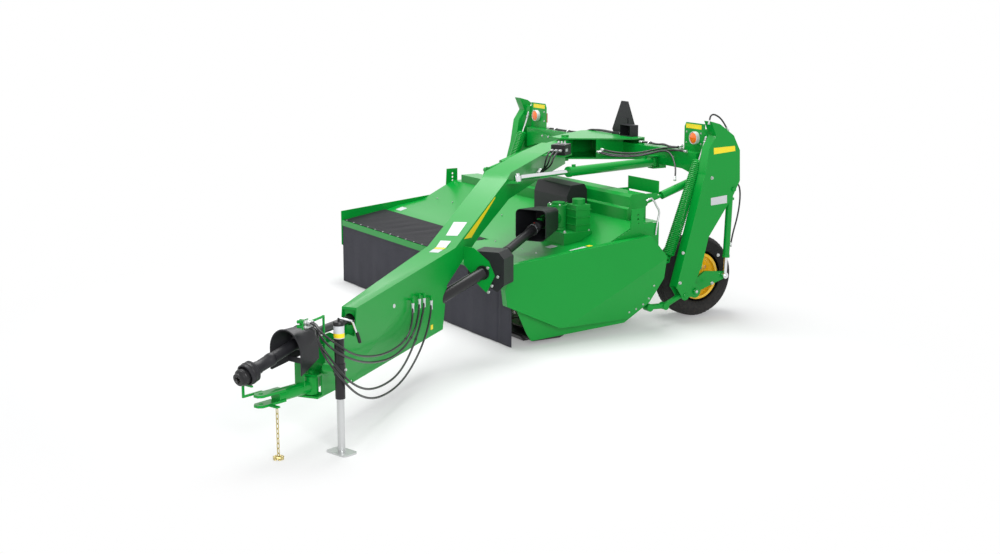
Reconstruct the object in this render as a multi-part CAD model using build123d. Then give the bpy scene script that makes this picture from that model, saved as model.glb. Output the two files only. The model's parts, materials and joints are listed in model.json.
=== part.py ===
"""Side-pull disc mower conditioner, 3.5 m cut, standing in field position on wheels and jack.

Millimetres. +X is the machine's left, -Y is forward, +Z is up, the floor is Z = 0.
While it is built, Y = 0 is the wheel axle and X = 0 the middle of the header; at the end
every piece is moved so that the origin is the bottom centre of the whole machine.
"""
from build123d import *
from math import atan2, cos, degrees, hypot, radians, sin, tan
import os

# Driving dimensions
# Wheels
TYRE_R = 393.5
TYRE_W = 290.0
TRACK_HALF = 1455.0
RIM_R = 212.0
RIM_FLANGE_R = 224.0
RIM_W = 190.0
HUB_R = 62.0
AXLE_R = 30.0
RUNNING_GAP = 0.5
SEAT_GAP = 0.3
MOVING_GAP = 6.0

# Carrier: crossbeam, legs and pivot nose
BEAM_Y = 50.0
BEAM_DEPTH = 160.0
BEAM_TOP = 1570.0
BEAM_HEIGHT = 155.0
NOTCH_X = 1505.0
NOTCH_Y = 32.0
PLATE = 8.0
SHEET = 5.0
LEG_IN = 1630.0
LEG_OUT = 1740.0
ARM_PIVOT = (-182.0, 296.0)
ARM_EYE = (212.0, 400.0)
ARM_PIN_R = 24.0
LIFT_TOP = (245.0, 1236.0)
LIFT_X = 1690.0
LIFT_R = 32.0
LIFT_ROD_R = 18.0
SPRING_TOP = (-28.0, 1554.0)
SPRING_FOOT = (-397.0, 592.0)
SPRING_X = 1570.0
SPRING_R = 52.0

# Tilt cylinders between header and crossbeam
TILT_FOOT = (-590.0, 1130.0)
TILT_HEAD = (60.0, 1330.0)
TILT_X = 1458.0

# Tongue
PIVOT = (50.0, -550.0)
TONGUE_ANGLE = 36.3
TONGUE_HALF = 125.0
PIVOT_PIN_R = 38.0
NOSE_TOP = 1625.0
NOSE_BOTTOM = 1415.0
SWING_LUG = (190.0, 1750.0, 1400.0)
SWING_PIN = (900.0, -68.0, 1430.0)
SWING_R = 45.0
SWING_ROD_R = 22.0
HITCH_POST = (80.0, 5300.0)
HITCH_ANGLE = 20.0
HITCH_LENGTH = 465.0
HITCH_Z = 405.0
HITCH_PIN_R = 16.5
CHAIN_AT = (104.0, -418.0)
PTO_Z = 765.0
PTO_END_Z = 585.0
PTO_LENGTH = 660.0
PTO_COLLAR_R = 76.0
PTO_BORE_R = 17.5
POST_PIN_R = 25.0
JACK_AT = (385.0, 5440.0)
JACK_R = 34.0
JACK_INNER_R = 26.0
JACK_TOP = 905.0
JACK_BOTTOM = 385.0
GUARD_DEPTH = 215.0
JACK_LIFT = 350.0

# Tongue hoses. Columns: off, S, Z of each run's ends, from the fitting to the holder
HOSE_R = 8.0
HOSE_ROUTES = {
    "hose_1": [(160, 3855, 705), (160, 3855, 643), (172, 3897, 563), (195, 3997, 488),
               (225, 4181, 462), (262, 4413, 467), (300, 4643, 494), (338, 4871, 538),
               (378, 5095, 595), (417, 5315, 668), (439, 5530, 775), (298, 5560, 872),
               (235, 5494, 904), (150.3, 5494, 904)],
    "hose_2": [(160, 3735, 715), (160, 3735, 654), (166, 3778, 575), (180, 3867, 483),
               (205, 4043, 428), (240, 4273, 409), (277, 4502, 423), (315, 4729, 462),
               (356, 4953, 513), (397, 5173, 578), (433, 5390, 657), (425, 5600, 762),
               (284, 5545, 846), (235, 5462, 904), (150.3, 5462, 904)],
    "hose_3": [(160, 3650, 705), (160, 3650, 644), (164, 3700, 565), (174, 3785, 467),
               (198, 3944, 370), (234, 4161, 290), (273, 4389, 258), (311, 4620, 268),
               (350, 4849, 298), (388, 5074, 351), (423, 5289, 437), (450, 5491, 551),
               (395, 5614, 728), (290, 5590, 830), (235, 5494, 872), (150.3, 5494, 872)],
    "hose_4": [(160, 3520, 660), (160, 3520, 599), (169, 3570, 521), (182, 3656, 425),
               (197, 3808, 316), (223, 4023, 230), (255, 4251, 185), (291, 4481, 181),
               (329, 4711, 202), (369, 4937, 246), (405, 5156, 320), (440, 5364, 422),
               (459, 5552, 559), (410, 5650, 700), (300, 5570, 785), (235, 5462, 872),
               (150.3, 5462, 872)],
}

# Driveline
BEARING = (295.0, 2790.0, 760.0)
DRIVE_JOINT = (300.0, 2650.0, 800.0)
BOX_JOINT = (0.0, 3330.0, 540.0)
GEARBOX_AT = (1080.0, -1300.0)
GEARBOX_SHAFT_Z = 1010.0
HEAD_REACH = 400.0
GUARD_BACK = 262.0
GUARD_MOUTH = 620.0
SHAFT_R = 40.0
SHAFT_INNER_R = 27.0
SHAFT_SHORT = 70.0

# Header
HEADER_HALF = 1735.0
FRONT_Y = -2220.0
SHIELD_HINGE = (-1694.0, 717.0)
SHIELD_PIN_R = 10.0
SHIELD_RAIL_TOP = 668.0
SHIELD_LIFT = 30.0
SHIELD_SPLIT = 450.0
CURTAIN_FLOOR = 8.0
CURTAIN_TOP = 610.0
CURTAIN = 6.0
CUTTER_Y = -1850.0
DISC_COUNT = 8
DISC_PITCH = 415.0
DISC_Z = 128.0
KNIFE_TIP = 248.0
SPINDLE_R = 24.0
ROTOR_AT = (-1420.0, 480.0)
ROTOR_TIP = 268.0
ROTOR_HALF = 1330.0
ROTOR_TUBE_R = 80.0
SWATH_HINGE = (-905.0, 925.0)
BEAM_SPLIT = -420.0

# Columns: Y, Z of the leg's side outline, from the front foot round by the top
LEG_OUTLINE = [(-408, 347), (-102, 1393), (-60, 1640), (16, 1751), (-44, 1889), (60, 1860),
               (228, 1747), (308, 1603), (320, 1314), (241, 1173), (-40, 800), (-113, 529),
               (-225, 305)]
# Columns: Y, Z of the inside of the leg, open at the lower rear edge for arm and cylinder
LEG_HOLLOW = [(-398, 360), (-92, 1400), (-50, 1640), (24, 1748), (220, 1738), (300, 1600),
              (330, 1310), (330, 1150), (0, 780), (-60, 520), (-60, 200), (-450, 200), (-450, 345)]
# Columns: Y, Z along the top of the header from the shield hinge to the rear
DECK_LINE = [(-1688, 739), (-1553, 776), (-1246, 817), (-858, 1003), (-625, 1003)]
# Columns: Y, Z of the header's end plates
END_PLATE = [(-2205, 600), (-1700, 718), (-1553, 768), (-1246, 809), (-858, 995), (-625, 995),
             (-625, 560), (-790, 210), (-1000, 90), (-2010, 45), (-2060, 120), (-2205, 430)]
# Columns: Y, Z of the end shield's rim
SHIELD_RIM = [(-2223, 764), (-780, 893), (-612, 695), (-605, 477), (-743, 258), (-963, 130),
              (-1784, 156), (-2304, 402), (-2322, 547)]
# Columns: Y, Z of both ends of the fold across the left end shield
SHIELD_FOLD = [(-1690, 169), (-633, 664)]
# Columns: distance above the fold, X of the shield's outer face
SHIELD_ROOF = [(-600, 1700), (0, 1850), (900, 1780)]
# Columns: S forward of the pivot, Z of the tongue's side, round from the rear top
TONGUE_SIDE = [(330, 1595), (900, 1560), (1750, 1475), (1850, 1420), (2970, 990), (4706, 839),
               (4789, 300), (3230, 352), (3142, 708), (2750, 890), (2450, 1015), (1800, 1240),
               (1000, 1335), (330, 1395)]
# Columns: off, S of the tongue's right edge seen from above, with its taper
TONGUE_TAPER = [(-125, 2970), (10, 4800)]
# Columns: S, Z of the open inside of the tongue's front box
TONGUE_HOLLOW = [(2990, 968), (4697, 827), (4900, 700), (4900, 200), (2990, 200), (2990, 780)]


def box(x0, x1, y0, y1, z0, z1):
    """A block between three pairs of planes."""
    middle = Pos((x0 + x1) / 2, (y0 + y1) / 2, (z0 + z1) / 2)
    return middle * Box(abs(x1 - x0), abs(y1 - y0), abs(z1 - z0))


def prism(plane, points, depth, rounding=0):
    """A flat outline on a plane, with rounded corners if wanted, pushed along its normal."""
    outline = Polygon(*points, align=None)
    if rounding:
        outline = fillet(outline.vertices(), rounding)
    return extrude(plane * outline, depth, dir=tuple(plane.z_dir))


def side(points, x0, x1, rounding=0):
    """An outline of (Y, Z) points between two X planes."""
    return prism(Plane.YZ.offset(x0), points, x1 - x0, rounding)


def flat(points, z0, z1, rounding=0):
    """An outline of (X, Y) points between two heights."""
    return prism(Plane.XY.offset(z0), points, z1 - z0, rounding)


def front(points, y0, y1, rounding=0):
    """An outline of (X, Z) points between two Y planes, y0 < y1."""
    plane = Plane(origin=(0, y1, 0), x_dir=(1, 0, 0), z_dir=(0, -1, 0))
    return prism(plane, points, y1 - y0, rounding)


def rod(start, end, radius):
    """A round bar between two points."""
    a = Vector(*start)
    b = Vector(*end)
    plane = Plane(origin=a, z_dir=b - a)
    return extrude(plane * Circle(radius), (b - a).length, dir=tuple(b - a))


def tube(start, end, radius, bore):
    """A round tube between two points."""
    a = Vector(*start)
    b = Vector(*end)
    plane = Plane(origin=a, z_dir=b - a)
    ring = Circle(radius) - Circle(bore)
    return extrude(plane * ring, (b - a).length, dir=tuple(b - a))


def turned_x(points, x_axis_y=0.0, x_axis_z=0.0):
    """A closed (X, radius) outline turned about a line along X."""
    face = make_face(Polyline(*[(x, r) for x, r in points], close=True))
    solid = revolve(face, Axis.X)
    return Pos(0, x_axis_y, x_axis_z) * solid


def turned_z(points):
    """A closed (radius, Z) outline turned about the Z axis."""
    face = Plane.XZ * make_face(Polyline(*points, close=True))
    return revolve(face, Axis.Z)


def folded_sheet(line, thickness, x0, x1):
    """A sheet bent along a (Y, Z) line, its thickness below the line."""
    under = [(y, z - thickness) for y, z in reversed(line)]
    return side(list(line) + under, x0, x1)


def other_side(shape):
    """The right-hand copy of a left-hand piece."""
    return mirror(shape, about=Plane.YZ)


def on_tongue(shape):
    """Places a shape drawn with the tongue straight ahead and the pivot at the origin."""
    return Pos(PIVOT[0], PIVOT[1], 0) * Rot(0, 0, TONGUE_ANGLE) * shape


def tongue_point(off, s, z):
    """World place of a point `off` to the left of the tongue's line and `s` ahead."""
    a = radians(TONGUE_ANGLE)
    x = PIVOT[0] + s * sin(a) + off * cos(a)
    y = PIVOT[1] - s * cos(a) + off * sin(a)
    return (x, y, z)


def on_hitch(shape):
    """Places a shape drawn with the hitch post at the origin and the hitch straight ahead."""
    x, y, _ = tongue_point(HITCH_POST[0], HITCH_POST[1], 0)
    return Pos(x, y, 0) * Rot(0, 0, HITCH_ANGLE) * shape


# Carrier
def carrier_beam():
    """The arched crossbeam with its lamp plates and lugs, and the fork for the tongue's pivot."""
    half = LEG_IN - SEAT_GAP
    y0 = BEAM_Y - BEAM_DEPTH / 2
    y1 = BEAM_Y + BEAM_DEPTH / 2
    bottom = BEAM_TOP - BEAM_HEIGHT
    # Columns: X, Z of the beam and of its hollow, seen from the front
    web = [(-half, bottom - 90), (-half, BEAM_TOP - 40), (-half + 90, BEAM_TOP),
           (half - 90, BEAM_TOP), (half, BEAM_TOP - 40), (half, bottom - 90),
           (half - 330, bottom - 10), (700, bottom), (-700, bottom), (-half + 330, bottom - 10)]
    inner = [(-half - 1, bottom - 80), (-half - 1, BEAM_TOP - 50), (-half + 90, BEAM_TOP - PLATE),
             (half - 90, BEAM_TOP - PLATE), (half + 1, BEAM_TOP - 50), (half + 1, bottom - 80),
             (half - 330, bottom), (700, bottom + PLATE), (-700, bottom + PLATE),
             (-half + 330, bottom)]
    whole = front(web, y0, y1)
    hollow = front(inner, y0 + PLATE, y1 - PLATE)
    # Steps in both ends make room for the float springs
    for way in (-1, 1):
        whole -= box(way * NOTCH_X, way * (half + 1), y0 - 1, NOTCH_Y, 1200, 1700)
        hollow -= box(way * (NOTCH_X - PLATE), way * (half + 2), y0 - 1, NOTCH_Y + PLATE, 1200,
                      1700)
    whole -= hollow
    # Columns: X, Y of the fork's plates, seen from above
    fork = [(-430, y0), (PIVOT[0] - 120, PIVOT[1] - 60), (PIVOT[0] - 70, PIVOT[1] - 110),
            (PIVOT[0] + 70, PIVOT[1] - 110), (PIVOT[0] + 120, PIVOT[1] - 60), (530, y0)]
    whole += flat(fork, NOSE_TOP - 14, NOSE_TOP) + flat(fork, NOSE_BOTTOM, NOSE_BOTTOM + 14)
    whole += flat([(-430, y0), (530, y0), (480, y1), (-380, y1)], NOSE_TOP - 14, NOSE_TOP)
    whole += box(-380, 480, y1 - 12, y1, BEAM_TOP, NOSE_TOP - 14)
    for x in (-230.0, 330.0):
        whole += box(x - 6, x + 6, PIVOT[1] + 190, y0, NOSE_BOTTOM + 14, NOSE_TOP - 14)
    whole += rod((*PIVOT, NOSE_BOTTOM - 30), (*PIVOT, NOSE_TOP + 22), PIVOT_PIN_R)
    # Lug of the swing cylinder
    sx, sy, sz = SWING_PIN
    for z in (sz - 62, sz + 50):
        whole += box(sx - 45, sx + 45, sy - 38, y0 + 1, z, z + 12)
    whole += rod((sx, sy, sz - 62), (sx, sy, sz + 62), 15)
    whole += box(sx - 45, sx + 45, y0, y0 + 80, sz - 62, bottom)
    # Lamp plates above the beam and lugs of the tilt cylinders below it
    for way in (-1, 1):
        plate = [(1226, BEAM_TOP - 1), (1226, 1800), (1250, 1843), (1530, 1843),
                 (1530, BEAM_TOP - 1)]
        whole += front([(way * x, z) for x, z in plate], BEAM_Y - 4, BEAM_Y + 4)
        x = way * (TILT_X - 26)
        whole += side([(36, TILT_HEAD[1] - 36), (84, TILT_HEAD[1] - 36), (110, bottom),
                       (34, bottom)], x - 6, x + 6)
    return whole


def leg():
    """The left leg: a channel of plate with lugs for arm, link, cylinder and spring rod."""
    body = side(LEG_OUTLINE, LEG_IN, LEG_OUT)
    py, pz = ARM_PIVOT
    lugs = Plane.YZ.offset(LEG_IN) * (Pos(py, pz) * Circle(62) + Pos(-300, 268) * Circle(46))
    body += extrude(lugs, LEG_OUT - LEG_IN, dir=(1, 0, 0))
    body += side([(-400, 350), (-340, 255), (-150, 240), (-125, 330), (-225, 400)], LEG_IN, LEG_OUT)
    body -= side(LEG_HOLLOW, LEG_IN + PLATE, LEG_OUT - PLATE)
    body += rod((LEG_IN, py, pz), (LEG_OUT + 12, py, pz), ARM_PIN_R)
    body += rod((LEG_IN, *LIFT_TOP), (LEG_OUT + 6, *LIFT_TOP), 16)
    # Ear that the spring's adjusting rod passes through
    ear = side([(30, 1690), (30, 1800), (130, 1800), (130, 1690)], LEG_IN - 90, LEG_IN + 1)
    return body + ear - rod((SPRING_X, *SPRING_TOP),
                            (SPRING_X, *along(SPRING_FOOT, SPRING_TOP, 1.4)), 13)


def along(start, end, share):
    """A point on the line from start to end, as a share of its length."""
    return tuple(a + (b - a) * share for a, b in zip(start, end))


def float_springs():
    """Both float springs with their hooks and adjusting rods, each coil run as a ribbed tube."""
    length = hypot(SPRING_TOP[0] - SPRING_FOOT[0], SPRING_TOP[1] - SPRING_FOOT[1])
    coils = 26
    pitch = (length - 90) / coils
    wire = pitch * 0.42
    outline = [(SPRING_R - wire - 8, 45), (SPRING_R - wire, 45)]
    for n in range(coils):
        z = 45 + n * pitch
        outline += [(SPRING_R, z + pitch * 0.28), (SPRING_R, z + pitch * 0.66)]
        outline += [(SPRING_R - wire, z + pitch)]
    outline += [(SPRING_R - wire - 8, 45 + coils * pitch)]
    spring = turned_z(outline)
    # Fork round the header's arm, and the adjusting rod at the top
    spring += box(-22, 22, -16, 16, 44, 52) + rod((-22, 0, 0), (22, 0, 0), 14)
    for x in (-22, 12 + SEAT_GAP):
        spring += box(x, x + 10 - SEAT_GAP, -16, 16, -18, 50)
    spring += rod((0, 0, length - 52), (0, 0, length + 290), 10)
    spring += rod((0, 0, 45), (0, 0, 60), SPRING_R - wire)
    spring += rod((0, 0, length - 60), (0, 0, length - 45), SPRING_R - wire)
    lean = degrees(atan2(SPRING_TOP[0] - SPRING_FOOT[0], SPRING_TOP[1] - SPRING_FOOT[1]))
    left = Pos(SPRING_X, *SPRING_FOOT) * Rot(-lean, 0, 0) * spring
    return Compound([*left.solids(), *other_side(left).solids()])


def lamps():
    """Amber lamps on the front of both lamp plates and red lamps on their rear."""
    pieces = []
    for way in (-1, 1):
        x = way * 1404
        face = BEAM_Y - 4 - SEAT_GAP
        pieces.append(rod((x, face, 1704), (x, face - 34, 1704), 60))
        back = BEAM_Y + 4 + SEAT_GAP
        xr = way * 1300
        pieces.append(box(xr - 45, xr + 45, back, back + 40, 1630, 1740))
    return Compound([s for piece in pieces for s in piece.solids()])


def emblem():
    """The slow-vehicle plate with cut corners, on its green bracket behind the beam."""
    x = 95.0
    y = BEAM_Y + BEAM_DEPTH / 2 + 24
    plate = front([(x - 60, 1960), (x + 60, 1960), (x + 215, 1660), (x + 175, 1600),
                   (x - 175, 1600), (x - 215, 1660)], y, y + 3)
    y1 = y - SEAT_GAP
    bracket = front([(x - 60, 1640), (x + 60, 1640), (x + 60, 1790), (x - 60, 1790)], y1 - 5, y1)
    foot = box(x - 60, x + 60, BEAM_Y + BEAM_DEPTH / 2 - 90, y1, NOSE_TOP + SEAT_GAP,
               NOSE_TOP + 22)
    hood = box(x + 120, x + 300, BEAM_Y - 40, BEAM_Y + 60, NOSE_TOP + SEAT_GAP, NOSE_TOP + 115)
    hood -= box(x + 125, x + 295, BEAM_Y - 60, BEAM_Y + 55, NOSE_TOP + 6, NOSE_TOP + 110)
    pieces = [plate, bracket + foot, hood]
    return Compound([s for piece in pieces for s in piece.solids()])


# Wheels, arms and lift cylinders
def wheel_arm():
    """The left arm: boss round the leg's pin, plate, stub axle and cylinder ear."""
    py, pz = ARM_PIVOT
    ey, ez = ARM_EYE
    x0 = LEG_IN + PLATE + MOVING_GAP + 2
    x1 = x0 + 20
    spots = [(py, pz, 50), (0, TYRE_R, 66), (ey, ez, 36)]
    edges = [edge for y, z, r in spots for edge in (Pos(y, z) * Circle(r)).edges()]
    body = extrude(Plane.YZ.offset(x0) * make_hull(edges), x1 - x0, dir=(1, 0, 0))
    body += rod((x0, py, pz), (LEG_OUT - PLATE - MOVING_GAP, py, pz), 44)
    body += rod((x1, 0, TYRE_R), (TRACK_HALF - 75, 0, TYRE_R), AXLE_R)
    body -= rod((x0 - 5, py, pz), (LEG_OUT, py, pz), ARM_PIN_R + RUNNING_GAP)
    body -= rod((x0 - 5, ey, ez), (x1 + 5, ey, ez), 16)
    return body


def rim():
    """The left wheel's rim, dish with openings and hub, open for its stub axle."""
    c = TRACK_HALF
    w = RIM_W / 2
    barrel = turned_x([(c - w, RIM_R), (c - w, RIM_FLANGE_R), (c - w - 8, RIM_FLANGE_R),
                       (c - w - 8, RIM_R - 14), (c - 60, RIM_R - 14), (c - 40, RIM_R - 44),
                       (c + 40, RIM_R - 44), (c + 60, RIM_R - 14), (c + w + 8, RIM_R - 14),
                       (c + w + 8, RIM_FLANGE_R), (c + w, RIM_FLANGE_R), (c + w, RIM_R),
                       (c + 66, RIM_R - 6), (c + 44, RIM_R - 36), (c - 44, RIM_R - 36),
                       (c - 66, RIM_R - 6)], 0, TYRE_R)
    dish = turned_x([(c + 40, RIM_R - 40), (c + 28, RIM_R - 40), (c + 62, 100), (c + 40, 66),
                     (c + 40, HUB_R - 6), (c + 52, HUB_R - 6), (c + 52, 66), (c + 74, 100)],
                    0, TYRE_R)
    for n in range(6):
        a = radians(60 * n + 30)
        y = 132 * cos(a)
        z = TYRE_R + 132 * sin(a)
        dish -= rod((c, y, z), (c + 120, y, z), 20)
    hub = turned_x([(c - 70, AXLE_R + RUNNING_GAP), (c - 70, 48), (c + 30, HUB_R),
                    (c + 100, HUB_R), (c + 130, 44), (c + 130, AXLE_R + RUNNING_GAP)], 0, TYRE_R)
    for n in range(6):
        a = radians(60 * n)
        y = 82 * cos(a)
        z = TYRE_R + 82 * sin(a)
        dish += rod((c + 40, y, z), (c + 82, y, z), 11)
    return barrel + dish + hub


def tyre():
    """The left tyre: rounded section with ribs, its beads just off the rim's seats."""
    c = TRACK_HALF
    h = TYRE_W / 2
    b = RIM_W / 2 - SEAT_GAP
    inner = RIM_R + SEAT_GAP
    crown = [(c - h + 52, TYRE_R - 16), (c - h + 74, TYRE_R - 5)]
    for x in (-60, 0, 60):
        crown += [(c + x - 20, TYRE_R), (c + x + 20, TYRE_R)]
        if x < 60:
            crown += [(c + x + 24, TYRE_R - 12), (c + x + 36, TYRE_R - 12)]
    crown += [(c + h - 74, TYRE_R - 5), (c + h - 52, TYRE_R - 16)]
    outline = [(c - b, inner), (c - b, inner + 24), (c - h + 14, 268), (c - h, 306),
               (c - h + 12, 346)] + crown
    outline += [(c + h - 12, 346), (c + h, 306), (c + h - 14, 268), (c + b, inner + 24),
                (c + b, inner)]
    return turned_x(outline, 0, TYRE_R)


def lift_length():
    return hypot(LIFT_TOP[0] - ARM_EYE[0], LIFT_TOP[1] - ARM_EYE[1])


def lift_barrel():
    """The lift cylinder's barrel, drawn hanging from its pin and leaned to the arm's eye."""
    length = 660.0
    body = rod((0, 0, -40), (0, 0, -length), LIFT_R)
    body += rod((0, 0, -length + 26), (0, 0, -length), LIFT_R + 4)
    body += rod((-20, 0, 0), (20, 0, 0), 30) + box(-20, 20, -22, 22, -46, 0)
    body += box(-9, 9, LIFT_R - 4, LIFT_R + 18, -110, -86)
    body -= rod((-30, 0, 0), (30, 0, 0), 16 + RUNNING_GAP)
    body -= rod((0, 0, -90), (0, 0, -length - 1), LIFT_ROD_R + RUNNING_GAP)
    return lean_lift(body)


def lift_rod():
    """The lift cylinder's rod with its eye, just outboard of the arm's ear."""
    length = lift_length()
    body = rod((0, 0, -130), (0, 0, -length + 24), LIFT_ROD_R)
    body += rod((-17, 0, -length), (17, 0, -length), 30)
    body += rod((17, 0, -length), (28, 0, -length), 14)
    return lean_lift(body)


def lean_lift(shape):
    """Hangs a cylinder piece from the leg's upper pin, in line with the arm's eye."""
    lean = degrees(atan2(LIFT_TOP[0] - ARM_EYE[0], LIFT_TOP[1] - ARM_EYE[1]))
    return Pos(LIFT_X, *LIFT_TOP) * Rot(-lean, 0, 0) * shape


# Header
def header_frame():
    """End plates, rear beam, lug arms for the float springs and the upright posts."""
    whole = None
    for way in (-1, 1):
        outer = way * HEADER_HALF
        inner = way * (HEADER_HALF - PLATE)
        plate = side(END_PLATE, min(outer, inner), max(outer, inner))
        post = side([(-950, 870), (-800, 900), (-800, 1135), (-935, 1135)],
                    min(outer, inner), max(outer, inner))
        for z in (960, 1000, 1040, 1080):
            post -= rod((way * 1700, -862, z), (way * 1800, -862, z), 11)
        bar = rod((inner, -655, 612), (way * 1545, -655, 612), 24)
        arm = side([(-690, 585), (-690, 640), (-630, 650), (-372, 616), (-372, 566), (-420, 556)],
                   way * SPRING_X - 12, way * SPRING_X + 12)
        arm -= rod((way * SPRING_X - 20, *SPRING_FOOT), (way * SPRING_X + 20, *SPRING_FOOT), 14.5)
        half = plate + post + bar + arm
        whole = half if whole is None else whole + half
    return whole


def header_beam():
    """The header's rear beams on the deck: high and stepped on the left, low on the right."""
    z0 = DECK_LINE[-1][1] + SEAT_GAP
    # Columns: Y, Z of the high beam and of its hollow
    outline = [(-858, z0), (-640, z0), (-640, 1225), (-655, 1240), (-800, 1240), (-825, 1215),
               (-825, 1120), (-858, 1105)]
    hollow = [(-848, z0 + 8), (-648, z0 + 8), (-648, 1222), (-658, 1232), (-797, 1232),
              (-817, 1212), (-817, 1112), (-848, 1098)]
    beam = side(outline, BEAM_SPLIT, 1550) - side(hollow, BEAM_SPLIT + 8, 1542)
    low = side([(-850, z0), (-640, z0), (-640, z0 + 80), (-850, z0 + 80)], -1550, BEAM_SPLIT)
    low -= side([(-842, z0 + 8), (-648, z0 + 8), (-648, z0 + 72), (-842, z0 + 72)], -1542,
                BEAM_SPLIT - 8)
    beam += low
    # Cross panel behind the high beam, on two short arms
    beam += box(1080, 1560, -506, -498, 1222, 1345)
    for x in (1090, 1540):
        beam += box(x, x + 10, -641, -505, 1180, 1235)
    for way in (-1, 1):
        x = way * (TILT_X - 26)
        beam += side([(-641, z0), (-641, z0 + 78), (-600, 1165), (-560, 1160), (-560, 1100),
                      (-630, z0)], x - 6, x + 6)
    return beam


def header_deck():
    """The folded deck sheet, with the rounded fixed panel in front of it on the left."""
    half = HEADER_HALF - PLATE - SEAT_GAP
    deck = folded_sheet(DECK_LINE, SHEET, -half, half)
    nose = [(-1688, 739), (-1900, 738), (-2080, 716), (-2165, 680), (-2200, 640), (-2206, 616)]
    panel = folded_sheet(nose, SHEET, SHIELD_SPLIT + 12, half)
    rim_bar = box(SHIELD_SPLIT + 12, half, FRONT_Y + 3, FRONT_Y + 22, CURTAIN_TOP, 640)
    whole = deck + panel + rim_bar
    y, z = SHIELD_HINGE
    ear = [(y - 14, z + 10), (y - 14, z - 12), (y - 6, z - 18), (y + 12, z - 18), (y + 39, z + 21),
           (y + 39, z + 29), (y + 6, z + 20)]
    for x in (-1500, -1000, -400, 150):
        whole += side(ear, x, x + 8)
    return whole - rod((-1520, y, z), (180, y, z), SHIELD_PIN_R + RUNNING_GAP)


def end_shield():
    """The left end shield: a dished sheet with a fold from its lower front to its rear."""
    rim = Polygon(*SHIELD_RIM, align=None)
    outer = shield_body(rim, HEADER_HALF + SEAT_GAP, 0)
    return outer - shield_body(offset(rim, -SHEET, kind=Kind.INTERSECTION), HEADER_HALF - 30, SHEET)


def shield_body(outline, x0, inset):
    """The outline pushed out to the two planes that meet along the fold."""
    block = extrude(Plane.YZ.offset(x0) * outline, 200, dir=(1, 0, 0))
    (y0, z0), (y1, z1) = SHIELD_FOLD
    a = atan2(z1 - z0, y1 - y0)
    plane = Plane(origin=(0, y0, z0), x_dir=(0, -sin(a), cos(a)), z_dir=(0, cos(a), sin(a)))
    roof = [(d, x - inset) for d, x in SHIELD_ROOF]
    low, high = roof[0][0], roof[-1][0]
    wedge = plane * Polygon((low, 1600), *roof, (high, 1600), align=None)
    return block & extrude(wedge, 2400, both=True)


def end_shield_right():
    """The right end shield, a flat plate along the header's end."""
    outline = [(max(y, FRONT_Y - 4), z) for y, z in SHIELD_RIM]
    x = -HEADER_HALF - SEAT_GAP
    return side(outline, x - 6, x)


def fabric_cover():
    """The fabric roof of the right front shield, slack between hinge line and front rail."""
    top = SHIELD_RAIL_TOP + SEAT_GAP + CURTAIN
    line = [(SHIELD_HINGE[0] - 18, SHIELD_HINGE[1] + 26), (-1900, 715), (-2090, 684),
            (-2184, top), (-2206, top)]
    return folded_sheet(line, CURTAIN, -HEADER_HALF + 30, SHIELD_SPLIT - 12)


def shield_rail():
    """The right front shield's rail, its end bars and the hinge tube behind the fabric."""
    x0 = -HEADER_HALF + PLATE + MOVING_GAP
    x1 = SHIELD_SPLIT
    rail = box(x0, x1, FRONT_Y, FRONT_Y + 38, CURTAIN_TOP, SHIELD_RAIL_TOP)
    rail -= box(x0 + 5, x1 - 5, FRONT_Y + 5, FRONT_Y + 60, CURTAIN_TOP + 5, SHIELD_RAIL_TOP - 5)
    hinge = rod((x0, *SHIELD_HINGE), (x1, *SHIELD_HINGE), SHIELD_PIN_R)
    bars = rail + hinge
    for x in (x0 + 4, x0 + 900, x1 - 12):
        bars += side([(-2190, 640), (-2190, 664), (-1700, 724), (-1700, 706)], x, x + 8)
    return bars


def curtain(x0, x1):
    """A rubber-fabric curtain hanging behind the front rail, ribbed by its straps."""
    y = FRONT_Y + 5 + SEAT_GAP
    return box(x0, x1, y, y + CURTAIN, CURTAIN_FLOOR, CURTAIN_TOP - SEAT_GAP)


def cutterbar():
    """The cutterbar's tapered box with a turret base for each disc and a shoe below it."""
    half = HEADER_HALF - PLATE - SEAT_GAP
    outline = [(-2030, 62), (-1990, 38), (-1700, 38), (-1650, 60), (-1650, 96), (-1720, 108),
               (-1960, 108), (-2030, 80)]
    bar = side(outline, -half, half)
    for n in range(DISC_COUNT):
        x = disc_x(n)
        bar += rod((x, CUTTER_Y, 100), (x, CUTTER_Y, DISC_Z - MOVING_GAP), 70)
        bar += rod((x, CUTTER_Y, 100), (x, CUTTER_Y, DISC_Z + 26), SPINDLE_R)
        shoe = side([(-2046, 66), (-2010, 20), (-1680, 20), (-1640, 50), (-1640, 60), (-1690, 40),
                     (-1985, 40), (-2030, 66)], x - 150, x + 150)
        bar += shoe
    return bar


def disc_x(n):
    """Place of disc n, counted from the machine's left."""
    return (DISC_COUNT - 1) / 2 * DISC_PITCH - n * DISC_PITCH


def disc(n):
    """An oval cutting disc with its dome and two knives; neighbours stand a quarter turn off."""
    plate = extrude(Ellipse(198, 152), 10)
    dome = Pos(0, 0, 10) * extrude(Circle(92), 26, taper=28)
    cap = Pos(0, 0, 36) * Cylinder(38, 12, align=(Align.CENTER, Align.CENTER, Align.MIN))
    body = plate + dome + cap
    for way in (-1, 1):
        body += box(way * 150, way * KNIFE_TIP, -22, 22, -4.0, 0)
        body += rod((way * 172, 0, -6), (way * 172, 0, 14), 14)
    body -= rod((0, 0, -10), (0, 0, 24), SPINDLE_R + RUNNING_GAP)
    turn = 0 if n % 2 == 0 else 90
    return Pos(disc_x(n), CUTTER_Y, DISC_Z + 6) * Rot(0, 0, turn) * body


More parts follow.
